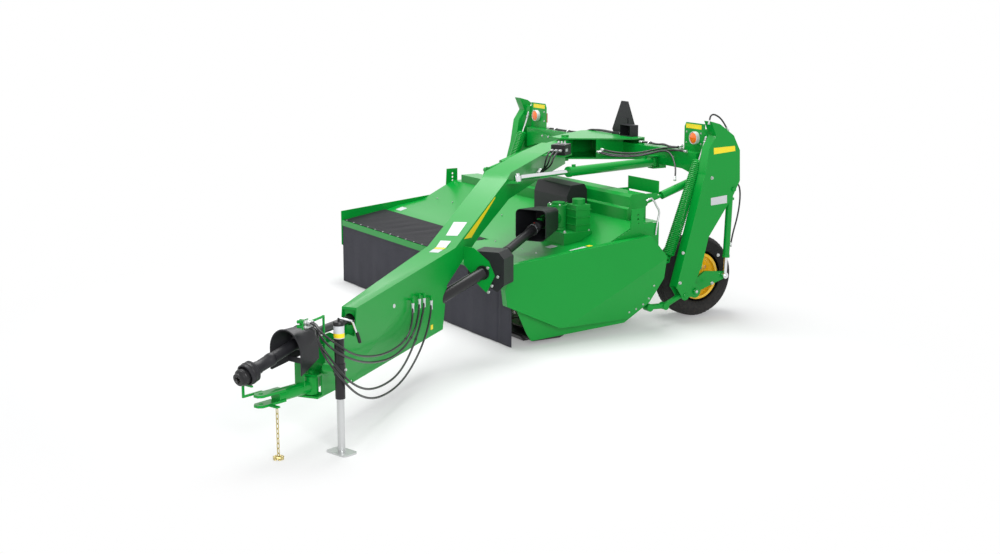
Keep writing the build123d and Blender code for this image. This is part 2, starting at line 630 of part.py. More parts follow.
def impeller():
    """The conditioning rotor: a tube with rows of V-shaped steel tines on lugs."""
    y, z = ROTOR_AT
    rotor = rod((-ROTOR_HALF, y, z), (ROTOR_HALF, y, z), ROTOR_TUBE_R)
    stub = HEADER_HALF - PLATE - SEAT_GAP
    rotor += rod((-stub, y, z), (stub, y, z), 28)
    rows = 4
    per_row = 12
    step = 2 * (ROTOR_HALF - 60) / (per_row - 1)
    for row in range(rows):
        turn = 360 / rows * row
        for n in range(per_row):
            x = -ROTOR_HALF + 60 + step * n + (step / 2 if row % 2 else 0)
            if x > ROTOR_HALF - 40:
                continue
            tine = front([(-12, ROTOR_TUBE_R - 6), (12, ROTOR_TUBE_R - 6), (34, ROTOR_TIP),
                          (22, ROTOR_TIP), (0, ROTOR_TUBE_R + 60), (-22, ROTOR_TIP),
                          (-34, ROTOR_TIP)], -5, 5)
            rotor += Pos(x, y, z) * Rot(turn, 0, 0) * tine
    return rotor


def swathboard():
    """The board behind the rotor that spreads the crop, on a cross shaft under the deck."""
    y, z = SWATH_HINGE
    board = side([(y + 4, z), (y + 8, z + 8), (y + 250, z - 290), (y + 300, z - 320),
                  (y + 296, z - 326), (y + 244, z - 296)], -1180, 1180)
    stub = HEADER_HALF - PLATE - SEAT_GAP
    return board + rod((-stub, y, z), (stub, y, z), 15)


def forming_shields():
    """The two upright plates behind the header that gather the swath, held from the deck."""
    left = flat([(1420, -1010), (1426, -1010), (1016, -150), (1010, -150)], 380, 880)
    left -= prism(Plane.YZ.offset(900), [(-400, 370), (-140, 370), (-140, 560)], 700)
    left += box(1250, 1326, -650, -630, 850, DECK_LINE[-1][1] - SHEET - SEAT_GAP)
    return Compound([*left.solids(), *other_side(left).solids()])


def links():
    """Lower links and tilt cylinders between the legs and the header, both sides."""
    x = 1685.0
    path = [(-694, 192), (-508, 183), (-300, 268)]
    lower = rod((x, *path[0]), (x, *path[1]), 26) + rod((x, *path[1]), (x, *path[2]), 26)
    lower += rod((x - 38, *path[1]), (x + 38, *path[1]), 34)
    inner = HEADER_HALF - PLATE - SEAT_GAP
    lower += rod((x - 34, *path[0]), (inner, *path[0]), 36)
    lower += rod((LEG_IN + PLATE + SEAT_GAP, *path[2]), (LEG_OUT - PLATE - SEAT_GAP, *path[2]), 32)
    # Columns: start and end as shares of the tilt cylinder's length, radius
    tilt = None
    for start, end, radius in ((0.0, 0.4, 16), (0.3, 0.9, 38), (0.8, 1.0, 20)):
        piece = rod((TILT_X, *along(TILT_FOOT, TILT_HEAD, start)),
                    (TILT_X, *along(TILT_FOOT, TILT_HEAD, end)), radius)
        tilt = piece if tilt is None else tilt + piece
    for spot in (TILT_FOOT, TILT_HEAD):
        tilt += rod((TILT_X - 20 + SEAT_GAP, *spot), (TILT_X + 18, *spot), 26)
    solids = [s for piece in (lower, tilt) for s in piece.solids()]
    mirrored = [s for piece in (lower, tilt) for s in other_side(piece).solids()]
    return Compound(solids + mirrored)


# Gearbox and driveline
def above_deck(shape):
    """What stays of a shape above the deck's folded sheet."""
    top = [(y, z + SEAT_GAP) for y, z in DECK_LINE]
    below = [(DECK_LINE[0][0], 0)] + top + [(DECK_LINE[-1][0], 0)]
    return shape - side(below, -HEADER_HALF, HEADER_HALF)


def gearbox_base():
    """The gearbox's pedestal on the deck, its ribbed casting and the turntable under the head."""
    gx, gy = GEARBOX_AT
    stand = above_deck(box(gx - 130, gx + 290, gy - 130, gy + 180, 700, 905))
    stand += rod((gx, gy, 900), (gx, gy, 925), 118)
    cx = gx + 200
    cy = gy + 90
    stand += box(cx - 76, cx + 76, cy - 80, cy + 80, 904, 1150)
    stand += rod((cx, cy, 1150), (cx, cy, 1200), 60)
    for n in range(3):
        z = 960 + 70 * n
        stand += box(cx - 82, cx + 86, cy - 86, cy + 86, z, z + 8)
    return stand


def rear_cover():
    """The rounded black hood behind the gearbox, standing on the sloping deck."""
    gx = GEARBOX_AT[0]
    # Columns: Y, Z of the hood and of its hollow
    profile = [(-1100, 850), (-1100, 1160), (-1060, 1265), (-900, 1275), (-870, 1220), (-870, 950)]
    inner = [(-1094, 840), (-1094, 1158), (-1056, 1259), (-903, 1269), (-876, 1218), (-876, 940)]
    hood = side(profile, gx - 740, gx - 160, 24) - side(inner, gx - 734, gx - 166, 20)
    return above_deck(hood)


def shaft_heading():
    """Heading of the driveline from the gearbox, in degrees left of straight ahead."""
    tx, ty, _ = tongue_point(*DRIVE_JOINT)
    return degrees(atan2(tx - GEARBOX_AT[0], GEARBOX_AT[1] - ty))


def head_frame(shape):
    """Places a piece of the gearbox head, drawn about its axis with the input along -Y."""
    return Pos(*GEARBOX_AT, GEARBOX_SHAFT_Z) * Rot(0, 0, shaft_heading()) * shape


def shaft_length_and_drop():
    """Length of the rear shaft between its joints, and its slope in degrees."""
    tx, ty, tz = tongue_point(*DRIVE_JOINT)
    level = hypot(tx - GEARBOX_AT[0], ty - GEARBOX_AT[1]) - HEAD_REACH
    drop = GEARBOX_SHAFT_Z - tz
    return hypot(level, drop), degrees(atan2(drop, level))


def shaft_frame(shape):
    """Places a shaft piece drawn from the gearbox-end joint along -Y."""
    slope = shaft_length_and_drop()[1]
    return head_frame(Pos(0, -HEAD_REACH, 0) * Rot(slope, 0, 0) * shape)


def gearbox_head():
    """The turning head of the gearbox with its input snout and yoke."""
    z0 = 925 + RUNNING_GAP - GEARBOX_SHAFT_Z
    head = rod((0, 0, z0), (0, 0, 120), 105) + rod((0, 0, 119), (0, 0, 140), 62)
    head += rod((0, 0, 0), (0, -300, 0), 66) + rod((0, -299, 0), (0, -345, 0), 44)
    for n in range(4):
        a = radians(90 * n + 45)
        head += rod((82 * cos(a), 82 * sin(a), 110), (82 * cos(a), 82 * sin(a), 132), 10)
    for z in (-46, 28):
        head += box(-24, 24, -428, -340, z, z + 18)
    head += rod((0, -HEAD_REACH, -46), (0, -HEAD_REACH, 46), 13)
    return head_frame(head)


def gearbox_guard():
    """The black square bell round the input joint, open towards the driveline."""
    rear = bell_face(-GUARD_BACK, 230, 216, 22, 40)
    mouth = bell_face(-GUARD_MOUTH, 300, 286, 10, 46)
    rear_in = bell_face(-GUARD_BACK - 6, 218, 204, 22, 34)
    mouth_in = bell_face(-GUARD_MOUTH - 1, 288, 274, 10, 40)
    bell = loft([rear, mouth]) - loft([rear_in, mouth_in])
    bell -= rod((0, 0, 0), (0, -GUARD_BACK - 20, 0), 66 + SEAT_GAP)
    return head_frame(bell)


def bell_face(y, width, height, z, rounding):
    """A rounded rectangle across the shaft line, z being its middle's height."""
    plane = Plane(origin=(0, y, z), x_dir=(1, 0, 0), z_dir=(0, -1, 0))
    return (plane * RectangleRounded(width, height, rounding)).faces()[0]


def shaft_outer():
    """The rear driveline's outer guard tube with its yoke and white ring."""
    body = tube((0, -69, 0), (0, -760, 0), SHAFT_R, SHAFT_INNER_R + RUNNING_GAP)
    body += tube((0, -170, 0), (0, -200, 0), SHAFT_R + 12, SHAFT_R - 4)
    body += rod((0, -40, 0), (0, -70, 0), SHAFT_R + 6)
    for way in (-1, 1):
        body += box(way * 26, way * 44, -50, 22, -20, 20)
        body += rod((way * 14, 0, 0), (way * 30, 0, 0), 12)
    return shaft_frame(body)


def shaft_inner():
    """The rear driveline's inner tube, sliding in the outer one towards the bracket."""
    end = SHAFT_SHORT - shaft_length_and_drop()[0]
    return shaft_frame(rod((0, -75, 0), (0, end, 0), SHAFT_INNER_R))


# Tongue
def tongue_plan(inset):
    """The tongue seen from above, straight on the left and tapering to the front on the right."""
    (x0, s0), (x1, s1) = TONGUE_TAPER
    return flat([(x0 + inset, 100), (x0 + inset, -s0), (x1 + inset, -s1),
                 (TONGUE_HALF - inset, -s1), (TONGUE_HALF - inset, 100)], 0, 2000)


def tongue_beam():
    """The cranked tongue: plate beam, open front box, pivot boss, shaft bracket and hitch post."""
    body = side([(-s, z) for s, z in TONGUE_SIDE], -TONGUE_HALF, TONGUE_HALF) & tongue_plan(0)
    hollow = side([(-s, z) for s, z in TONGUE_HOLLOW], -TONGUE_HALF, TONGUE_HALF)
    body -= hollow & tongue_plan(PLATE)
    upper = [(-420, 1580), (-900, 1550), (-1742, 1466), (-1842, 1411), (-2900, 1005), (-2740, 903),
             (-2450, 1025), (-1800, 1250), (-1000, 1345), (-420, 1405)]
    body -= side(upper, -TONGUE_HALF + PLATE, TONGUE_HALF - PLATE)
    # Rear boss round the pivot pin, and the neck between the fork's plates
    low = NOSE_BOTTOM + 14 + MOVING_GAP
    high = NOSE_TOP - 14 - MOVING_GAP
    body += rod((0, 0, low), (0, 0, high), 82) + box(-80, 80, -345, 0, low + 8, high - 12)
    body -= rod((0, 0, low - 5), (0, 0, high + 5), PIVOT_PIN_R + RUNNING_GAP)
    # Front plate with the driveline's hole
    plate = box(0, TONGUE_HALF - 4, -4694, -4684, 560, 832) & tongue_plan(4)
    body += plate - rod((60, -4600, 746), (60, -4750, 746), 44)
    body += hitch_post()
    # Swing cylinder's ear on the left side
    off, s, z = SWING_LUG
    body += flat([(TONGUE_HALF - 2, -s - 110), (off + 36, -s - 36), (off + 36, -s + 36),
                  (TONGUE_HALF - 2, -s + 110)], z - 16, z)
    # Bracket that carries the driveline bearing beside the beam
    off, s, z = BEARING
    arch = [(TONGUE_HALF - 4, 975), (215, 965), (350, 860), (405, 740), (330, 590), (250, 660),
            (170, 770), (TONGUE_HALF - 4, 820)]
    body += front(arch, -s - 5, -s + 5, 10)
    body -= rod((off, -s - 20, z), (off, -s + 20, z), 62)
    body -= rod(box_joint(), (off, -s - 30, z), 58)
    # Stub that carries the jack
    jx, js = JACK_AT
    body += rod((HITCH_POST[0] + 78, 60 - HITCH_POST[1], 510), (jx - 95, -js, 590), 28)
    body += rod((jx - 120, -js, 590), (jx - JACK_R - 6 - SEAT_GAP, -js, 590), 28)
    # Plate that carries the valve
    body += box(TONGUE_HALF - 4, 350, -960, -760, 1540, 1550)
    body += hose_fittings() + hose_holder()
    return on_tongue(body)


def hose_fittings():
    """The elbow on the tongue's side that each hose starts from."""
    whole = None
    for route in HOSE_ROUTES.values():
        off, s, z = route[0]
        elbow = rod((TONGUE_HALF - 2, -s, z + 28), (off, -s, z + 28), HOSE_R + 2)
        elbow += rod((off, -s, z + 38), (off, -s, z + SEAT_GAP), HOSE_R + 3)
        whole = elbow if whole is None else whole + elbow
    return whole


def hose_holder():
    """The bent arm behind the hitch with the plate that the hoses' couplers sit in."""
    ends = [route[-1] for route in HOSE_ROUTES.values()]
    off = ends[0][0] - SEAT_GAP
    s_low = min(s for _, s, _ in ends)
    s_high = max(s for _, s, _ in ends)
    z_low = min(z for _, _, z in ends)
    z_high = max(z for _, _, z in ends)
    middle = (z_low + z_high) / 2
    foot = (off - 6, -HITCH_POST[1] + 78)
    arm = rod((*foot, 650), (*foot, middle + 9), 9)
    arm += rod((*foot, middle), (foot[0], -s_low + 24, middle), 9)
    arm += box(off - 10, off, -s_high - 18, -s_low + 26, z_low - 16, z_high + 16)
    for x, s, z in ends:
        arm += rod((off - 5, -s, z), (off - 52, -s, z), HOSE_R + 4)
    return arm


def box_joint():
    """Where the black shaft meets its joint in the tongue's box, as X, Y, Z beside the tongue."""
    off, s, z = BOX_JOINT
    return (off, -s, z)


def hitch_post():
    """Cheeks ahead of the front box, and the upright pin for the swivelling hitch."""
    px, ps = HITCH_POST
    whole = box(px - 79, px + 79, -4780, -4690, 400, 410)
    whole += box(px - 79, px + 45, -4790, -4700, 402, 640)
    for x in (px - 74, px + 74):
        whole += side([(-4700, 400), (-4700, 600), (-4900, 690), (-ps + 60, 690), (-ps + 60, 560),
                       (-ps + 8, 520), (-ps + 8, HITCH_Z - 74), (-4900, HITCH_Z - 74)], x - 5, x + 5)
    for z in (HITCH_Z - 74, HITCH_Z + 80):
        whole += box(px - 79, px + 79, -ps - 55, -ps + 70, z, z + 14)
    whole += box(px - 79, px + 79, -ps + 60, -ps + 72, HITCH_Z + 80, 690)
    whole += rod((px, -ps, HITCH_Z - 84), (px, -ps, HITCH_Z + 110), POST_PIN_R)
    return whole


def bracket_guard():
    """The black hood over the driveline joint behind the bracket, open below and behind."""
    off, s, z = BEARING
    x0 = off - 140
    x1 = off + 190
    y0 = -s + 5 + SEAT_GAP
    hood = front([(x0, 740), (x0, 880), (x0 + 60, 940), (x1 - 50, 940), (x1, 885), (x1, 660),
                  (x1 - 60, 600)], y0, y0 + GUARD_DEPTH, 8)
    hood -= front([(x0 + 6, 741), (x0 + 6, 877), (x0 + 62, 934), (x1 - 53, 934), (x1 - 6, 882),
                   (x1 - 6, 500), (x0 + 6, 500)], y0 + 6, y0 + GUARD_DEPTH + 1)
    hood -= rod((off, y0 - 1, z), (off, y0 + 10, z), 66)
    return on_tongue(hood)


def mid_shaft():
    """The driveline in the tongue: front shaft into the box, and the black tube to the bracket."""
    off, s, z = BEARING
    start = box_joint()
    mid = rod(start, (off, -s - 8, z), 50)
    mid += rod((off, -s - 14, z), (off, -s + 14, z), 62 - SEAT_GAP)
    jx, js, jz = DRIVE_JOINT
    mid += rod((off, -s, z), (jx, -js, jz), 26)
    wall = TONGUE_HALF - PLATE - SEAT_GAP
    mid += box(-78, wall, start[1] - 120, start[1] - 20, 480, 760)
    mid += rod((10, start[1] - 60, 700), (HITCH_POST[0], 14 - HITCH_POST[1], PTO_Z + 5), 30)
    return on_tongue(mid)


def cone_guard():
    """The black hood round the front joint: a tapered arch, open in front and below."""
    hood = loft([arch_face(0, 84, 150, 0), arch_face(-230, 150, 150, -70)])
    hood -= loft([arch_face(4, 77, 160, 0), arch_face(-234, 143, 160, -70)])
    back = extrude(arch_face(-3, 81, 148, 0), 6, dir=(0, -1, 0)) - rod((0, 20, 0), (0, -30, 0), 58)
    bar = box(-112, 112, -112, -104, -178, -138)
    return on_hitch(Pos(0, 0, PTO_Z) * (hood + back + bar))


def arch_face(y, half, drop, z):
    """An upright arch: half-round above the height z, straight sides below."""
    plane = Plane(origin=(0, y, z), x_dir=(1, 0, 0), z_dir=(0, -1, 0))
    arc = ThreePointArc((-half, 0), (0, half), (half, 0))
    legs = Polyline((half, 0), (half, -drop), (-half, -drop), (-half, 0))
    return (plane * make_face(Curve() + [arc, legs])).faces()[0]


def jack_tube():
    """The jack's outer tube with its head, label collar and crank."""
    jx, js = JACK_AT
    tube_part = tube((0, 0, JACK_BOTTOM), (0, 0, JACK_TOP), JACK_R, JACK_INNER_R + RUNNING_GAP)
    cap = rod((0, 0, JACK_TOP - 10), (0, 0, JACK_TOP + 14), JACK_R + 3)
    collar = tube((0, 0, 800), (0, 0, 900), JACK_R + 2, JACK_R - 1)
    stub = tube((0, 0, 550), (0, 0, 630), JACK_R + 6, JACK_R - 1)
    crank = rod((0, 0, JACK_TOP + 10), (0, 0, JACK_TOP + 40), 9)
    crank += rod((0, 0, JACK_TOP + 34), (70, 60, JACK_TOP + 10), 7)
    crank += rod((70, 60, JACK_TOP + 12), (100, 90, JACK_TOP - 120), 7)
    return on_tongue(Pos(jx, -js, 0) * (tube_part + cap + collar + stub + crank))


def jack_leg():
    """The jack's inner leg and foot plate."""
    jx, js = JACK_AT
    leg_part = rod((0, 0, 8), (0, 0, JACK_TOP - JACK_LIFT - 20), JACK_INNER_R)
    foot = extrude(RectangleRounded(200, 130, 30), 12)
    return on_tongue(Pos(jx, -js, 0) * Rot(0, 0, -20) * (leg_part + foot))


def valve_block():
    """The black valve beside the tongue's rear, with its ports."""
    body = box(205, 345, -945, -775, 1550 + SEAT_GAP, 1650)
    for n in range(3):
        body += rod((235 + 40 * n, -945, 1600), (235 + 40 * n, -972, 1600), 12)
    return on_tongue(body)


# Hitch
def hitch_link():
    """The swivelling hitch: boss round the post pin, tube, clevis, chain lug and shaft cradle."""
    z = HITCH_Z
    reach = HITCH_LENGTH
    body = rod((0, 0, z - 54), (0, 0, z + 74), 50) + rod((0, -40, z), (0, -reach + 130, z), 46)
    # Columns: X, Y of the clevis plates
    outline = [(-44, -reach + 190), (-44, -reach - 20), (-20, -reach - 46), (20, -reach - 46),
               (44, -reach - 20), (44, -reach + 190)]
    for z0 in (z - 44, z + 26):
        body += flat(outline, z0, z0 + 18)
    body -= rod((0, 0, z - 60), (0, 0, z + 80), POST_PIN_R + RUNNING_GAP)
    body -= rod((0, -reach, z - 60), (0, -reach, z + 60), HITCH_PIN_R)
    # Upright under the front hood
    body += box(-45, 45, -112, -104, z + 20, PTO_Z - 178 - SEAT_GAP)
    # Lug that the safety chain hangs from
    cx, cy = CHAIN_AT
    body += box(40, cx + 16, cy - 16, cy + 16, z - 44, z - 34)
    # Cradle that carries the parked driveline
    y0 = -0.85 * PTO_LENGTH - 7
    top = pto_at(0.85)[2] - PTO_COLLAR_R - 4
    body += box(-72, -30, -reach + 52, -reach + 68, z + 27, z + 42)
    body += box(-72, -58, y0, -reach + 68, z + 27, z + 42)
    body += box(-72, -58, y0, y0 + 14, z + 27, top)
    body += box(-72, 30, y0, y0 + 14, top - 12, top)
    return on_hitch(body)


def pto_at(share):
    """A point on the parked driveline's axis, as a share of its length from the joint."""
    return along((0, -22, PTO_Z), (0, -PTO_LENGTH, PTO_END_Z), share)


def pto_shaft():
    """The front driveline parked in its cradle: joint in the hood, guard tubes and end yoke."""
    # Columns: start and end as shares of the length, radius
    pieces = ((0.0, 0.12, 30), (0.08, 0.2, 48), (0.2, 0.55, 38), (0.5, 0.82, 46),
              (0.78, 0.9, PTO_COLLAR_R), (0.88, 1.0, 58))
    body = None
    for start, end, radius in pieces:
        piece = rod(pto_at(start), pto_at(end), radius)
        body = piece if body is None else body + piece
    return on_hitch(body - rod(pto_at(0.93), pto_at(1.05), PTO_BORE_R))


def safety_chain():
    """The safety chain hanging from the hitch to a pile on the floor, link by link."""
    links_list = []
    count = 10
    top = HITCH_Z - 44 - SEAT_GAP
    step = (top - 50) / (count - 1)
    for n in range(count):
        z = top - 24 - step * n
        links_list.append(Pos(0, 0, z) * Rot(0, 0, 90 * (n % 2)) * chain_link())
    for n in range(9):
        layer = n // 3
        turn = 120 * (n % 3) + 40 * layer
        flat_link = Rot(0, 0, turn) * Pos(24.7, 0, 4.5 + 7.3 * layer) * Rot(0, 0, 90) * Rot(0, 90, 0)
        links_list.append(flat_link * Rot(0, 0, 90) * chain_link())
    whole = Compound([s for piece in links_list for s in piece.solids()])
    return on_hitch(Pos(*CHAIN_AT, 0) * whole)


def chain_link():
    """One welded chain link standing upright, as an eight-sided ring."""
    ring = Plane.XZ * (RectangleRounded(24, 48, 11.5) - RectangleRounded(11, 35, 5))
    return extrude(ring, 3.5, both=True)


# Swing cylinder
def swing_frame(shape):
    """Places a cylinder piece drawn from its pin along -Y, aimed at the tongue's ear."""
    tx, ty, _ = tongue_point(*SWING_LUG)
    heading = degrees(atan2(tx - SWING_PIN[0], SWING_PIN[1] - ty))
    return Pos(*SWING_PIN) * Rot(0, 0, heading) * shape


def swing_reach():
    tx, ty, _ = tongue_point(*SWING_LUG)
    return hypot(tx - SWING_PIN[0], ty - SWING_PIN[1])


def swing_barrel():
    """The swing cylinder's barrel with its rear eye and ports."""
    length = 1180.0
    body = rod((0, -60, 0), (0, -length, 0), SWING_R)
    body += rod((0, -length + 30, 0), (0, -length, 0), SWING_R + 5)
    body += box(-20, 20, -70, 0, -28, 28) + rod((0, 0, -40), (0, 0, 40), 30)
    body += box(-12, 12, -140, -110, SWING_R - 5, SWING_R + 20)
    body += box(-12, 12, -length + 60, -length + 90, SWING_R - 5, SWING_R + 20)
    body -= rod((0, 0, -60), (0, 0, 60), 15 + RUNNING_GAP)
    body -= rod((0, -110, 0), (0, -length - 1, 0), SWING_ROD_R + RUNNING_GAP)
    return swing_frame(body)


def swing_rod():
    """The swing cylinder's rod, its eye lying on the tongue's ear."""
    reach = swing_reach()
    body = rod((0, -420, 0), (0, -reach + 24, 0), SWING_ROD_R)
    eye_low = SWING_LUG[2] + 1.0 - SWING_PIN[2]
    body += rod((0, -reach, eye_low), (0, -reach, 24), 34)
    body += rod((0, -reach, 24), (0, -reach, 40), 18)
    return swing_frame(body)


def hose(points, radius):
    """A hose along straight runs joined by arcs as large as the runs allow."""
    spots = [Vector(*p) for p in points]
    radii = []
    for before, here, after in zip(spots, spots[1:], spots[2:]):
        turn = (here - before).get_angle(after - here)
        run = min((here - before).length, (after - here).length)
        radii.append(0.45 * run / tan(radians(turn / 2)))
    print("hose arc radii", [round(r) for r in radii])
    path = FilletPolyline(*spots, radius=radii)
    plane = Plane(origin=spots[0], z_dir=spots[1] - spots[0])
    return sweep(plane * Circle(radius), path=path)


def tongue_hose(name):
    """One tongue hose along its route."""
    route = [(off, -s, z) for off, s, z in HOSE_ROUTES[name]]
    return on_tongue(hose(route, HOSE_R))


def build():
    """Every node by name."""
    nodes = {
        "carrier_beam": carrier_beam(),
        "leg_left": leg(),
        "leg_right": other_side(leg()),
        "float_springs": float_springs(),
        "lamps": lamps(),
        "emblem": emblem(),
        "header_frame": header_frame(),
        "header_beam": header_beam(),
        "header_deck": header_deck(),
        "end_shield_left": end_shield(),
        "end_shield_right": end_shield_right(),
        "front_curtain_left": curtain(SHIELD_SPLIT + 16, HEADER_HALF - 12),
        "front_curtain_right": curtain(-HEADER_HALF + PLATE + MOVING_GAP, SHIELD_SPLIT - 8),
        "fabric_cover": fabric_cover(),
        "shield_rail": shield_rail(),
        "cutterbar": cutterbar(),
        "impeller": impeller(),
        "swathboard": swathboard(),
        "forming_shields": forming_shields(),
        "links": links(),
        "gearbox_base": gearbox_base(),
        "rear_cover": rear_cover(),
        "gearbox_head": gearbox_head(),
        "gearbox_guard": gearbox_guard(),
        "shaft_outer": shaft_outer(),
        "shaft_inner": shaft_inner(),
        "tongue_beam": tongue_beam(),
        "bracket_guard": bracket_guard(),
        "mid_shaft": mid_shaft(),
        "cone_guard": cone_guard(),
        "valve_block": valve_block(),
        "jack_tube": jack_tube(),
        "jack_leg": jack_leg(),
        "hitch_link": hitch_link(),
        "pto_shaft": pto_shaft(),
        "safety_chain": safety_chain(),
        "swing_barrel": swing_barrel(),
        "swing_rod": swing_rod(),
    }
    for n in range(DISC_COUNT):
        nodes[f"disc_{n + 1}"] = disc(n)
    for name in HOSE_ROUTES:
        nodes[name] = tongue_hose(name)
    for name, shape in (("wheel_arm", wheel_arm()), ("rim", rim()), ("tyre", tyre()),
                        ("lift_barrel", lift_barrel()), ("lift_rod", lift_rod())):
        nodes[f"{name}_left"] = shape
        nodes[f"{name}_right"] = other_side(shape)
    return nodes


NODES = build()
whole_box = Compound(children=[Compound(shape.solids()) for shape in NODES.values()]).bounding_box()
SHIFT = (-(whole_box.min.X + whole_box.max.X) / 2, -(whole_box.min.Y + whole_box.max.Y) / 2,
         -whole_box.min.Z)

if __name__ == "__main__":
    os.makedirs("parts", exist_ok=True)
    for name, shape in NODES.items():
        export_step(Pos(*SHIFT) * Compound(shape.solids()), f"parts/{name}.step")
    print(len(NODES), "nodes, shift", [round(v, 3) for v in SHIFT])
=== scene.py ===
# %% [markdown]
# A disc mower conditioner stands parked on its jack and two wheels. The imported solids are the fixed
# frame, and this lesson dresses them: rounded plate edges, hoses, springs, cloth curtains, tyres,
# chain and paint. Every piece is placed in the frame's metres.

# %% Load the frame
import json
import math

import bmesh
import bpy
import mathutils
import numpy as np
from mathutils.bvhtree import BVHTree
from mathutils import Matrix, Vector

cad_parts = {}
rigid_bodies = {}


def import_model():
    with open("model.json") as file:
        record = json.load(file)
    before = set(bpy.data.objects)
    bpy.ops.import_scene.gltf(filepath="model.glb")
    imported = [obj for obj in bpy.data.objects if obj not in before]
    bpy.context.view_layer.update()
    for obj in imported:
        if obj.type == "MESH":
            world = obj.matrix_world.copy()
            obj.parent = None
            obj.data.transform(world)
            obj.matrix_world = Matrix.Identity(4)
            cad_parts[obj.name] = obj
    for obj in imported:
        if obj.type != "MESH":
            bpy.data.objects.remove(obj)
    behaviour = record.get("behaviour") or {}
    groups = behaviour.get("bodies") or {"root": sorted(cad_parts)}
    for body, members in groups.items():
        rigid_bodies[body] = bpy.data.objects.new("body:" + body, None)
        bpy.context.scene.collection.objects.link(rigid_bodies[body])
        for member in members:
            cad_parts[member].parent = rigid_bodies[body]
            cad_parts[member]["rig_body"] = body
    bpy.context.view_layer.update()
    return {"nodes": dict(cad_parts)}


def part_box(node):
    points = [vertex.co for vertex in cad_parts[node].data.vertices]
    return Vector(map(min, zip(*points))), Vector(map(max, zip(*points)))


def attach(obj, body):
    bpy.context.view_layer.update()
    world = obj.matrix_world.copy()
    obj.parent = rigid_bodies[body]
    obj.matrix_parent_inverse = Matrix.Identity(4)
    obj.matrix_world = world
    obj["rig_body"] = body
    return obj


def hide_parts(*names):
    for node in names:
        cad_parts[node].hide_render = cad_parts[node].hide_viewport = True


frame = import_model()
scene = bpy.context.scene
scene.view_settings.view_transform = "Standard"


def linked(name, data):
    """A new object of the scene with the given data."""
    made = bpy.data.objects.new(name, data)
    scene.collection.objects.link(made)
    return made


# %% [markdown]
# The machine is drawn in millimetres from the middle of its header and its wheel axle. The left
# tyre tells where that origin lies in the frame. The tongue, hitch, gearbox head and driveline each
# have a turned system of their own, so a place on them is written as the maker would measure it.

# %% Places on the machine
TRACK_HALF = 1455.0
TYRE_R = 393.5
PIVOT = (50.0, -550.0)
TONGUE_TURN = math.radians(36.3)
HITCH_POST = (80.0, 5300.0)
HITCH_TURN = math.radians(20.0)
GEARBOX = (1080.0, -1300.0, 1010.0)
HEAD_REACH = 400.0
DRIVE_JOINT = (300.0, 2650.0, 800.0)
# Each side's name, and the sign that its x has
SIDES = (("left", 1), ("right", -1))

tyre_low, tyre_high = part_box("tyre_left")
SHIFT = np.array([(tyre_low.x + tyre_high.x) / 2 - TRACK_HALF / 1000,
                  (tyre_low.y + tyre_high.y) / 2, 0.0])


def turned(points, angle):
    """Turns points about Z: x' = x cos - y sin, y' = x sin + y cos."""
    p = np.asarray(points, float)
    c, s = math.cos(angle), math.sin(angle)
    x, y = p[..., 0], p[..., 1]
    return np.stack([x * c - y * s, x * s + y * c, p[..., 2]], -1)


def on_machine(points):
    """Millimetres on the machine to metres in the frame: p / 1000 + shift."""
    return np.asarray(points, float) / 1000 + SHIFT


def mirrored(points):
    """The same place on the machine's right side: x becomes -x."""
    return np.asarray(points, float) * [-1, 1, 1]


def on_tongue(points):
    """(off, -S, Z) beside the tongue: turned by the tongue's angle about its pivot."""
    return on_machine(turned(points, TONGUE_TURN) + [PIVOT[0], PIVOT[1], 0])


def on_hitch(points):
    """(X, Y, Z) from the hitch's post, turned by the hitch's own angle."""
    c, s = math.cos(TONGUE_TURN), math.sin(TONGUE_TURN)
    off, reach = HITCH_POST
    post = [PIVOT[0] + reach * s + off * c, PIVOT[1] - reach * c + off * s, 0]
    return on_machine(turned(points, HITCH_TURN) + post)


joint_off, joint_reach, joint_z = DRIVE_JOINT
JOINT = (PIVOT[0] + joint_reach * math.sin(TONGUE_TURN) + joint_off * math.cos(TONGUE_TURN),
         PIVOT[1] - joint_reach * math.cos(TONGUE_TURN) + joint_off * math.sin(TONGUE_TURN))
HEADING = math.atan2(JOINT[0] - GEARBOX[0], GEARBOX[1] - JOINT[1])
LEVEL = math.hypot(JOINT[0] - GEARBOX[0], JOINT[1] - GEARBOX[1]) - HEAD_REACH
SLOPE = math.atan2(GEARBOX[2] - joint_z, LEVEL)


def on_head(points):
    """A place on the gearbox head, its input along -Y: turned by the driveline's heading."""
    return on_machine(turned(points, HEADING) + list(GEARBOX))


def on_shaft(points):
    """A place on the rear driveline from its joint along -Y, first tipped down by its slope."""
    p = np.asarray(points, float)
    c, s = math.cos(SLOPE), math.sin(SLOPE)
    tipped = np.stack([p[..., 0], p[..., 1] * c - p[..., 2] * s - HEAD_REACH,
                       p[..., 1] * s + p[..., 2] * c], -1)
    return on_head(tipped)


print("shift", SHIFT, "heading", round(math.degrees(HEADING), 2))

# %% [markdown]
# The camera stands where the photograph was taken: in front and to the left, a little above the
# machine, with a long lens. Its two turns and its lens were found from the straight edges that the
# photograph shows.

# %% Camera
camera = linked("photo_camera", bpy.data.cameras.new("photo_camera"))
camera.data.sensor_width = 36.0
camera.data.lens = 52.06
camera.data.clip_end = 200
camera_turn = math.radians(58.94)
camera_pitch = math.radians(11.43)
camera.location = on_machine([12230, -8653, 3134])
camera.rotation_euler = (math.pi / 2 - camera_pitch, 0, camera_turn)
scene.camera = camera
print("camera at", [round(v, 2) for v in camera.location])

# %% [markdown]
# Four hoses leave elbows on the tongue's side, hang in long loops past the jack and end in couplers
# on a plate above the front guard. Each is a smooth curve through a few control points, because a
# hose under its own weight has no corners. The route's points are those of the solid hoses.

# %% Hoses on the tongue
HOSE_R = 8.0
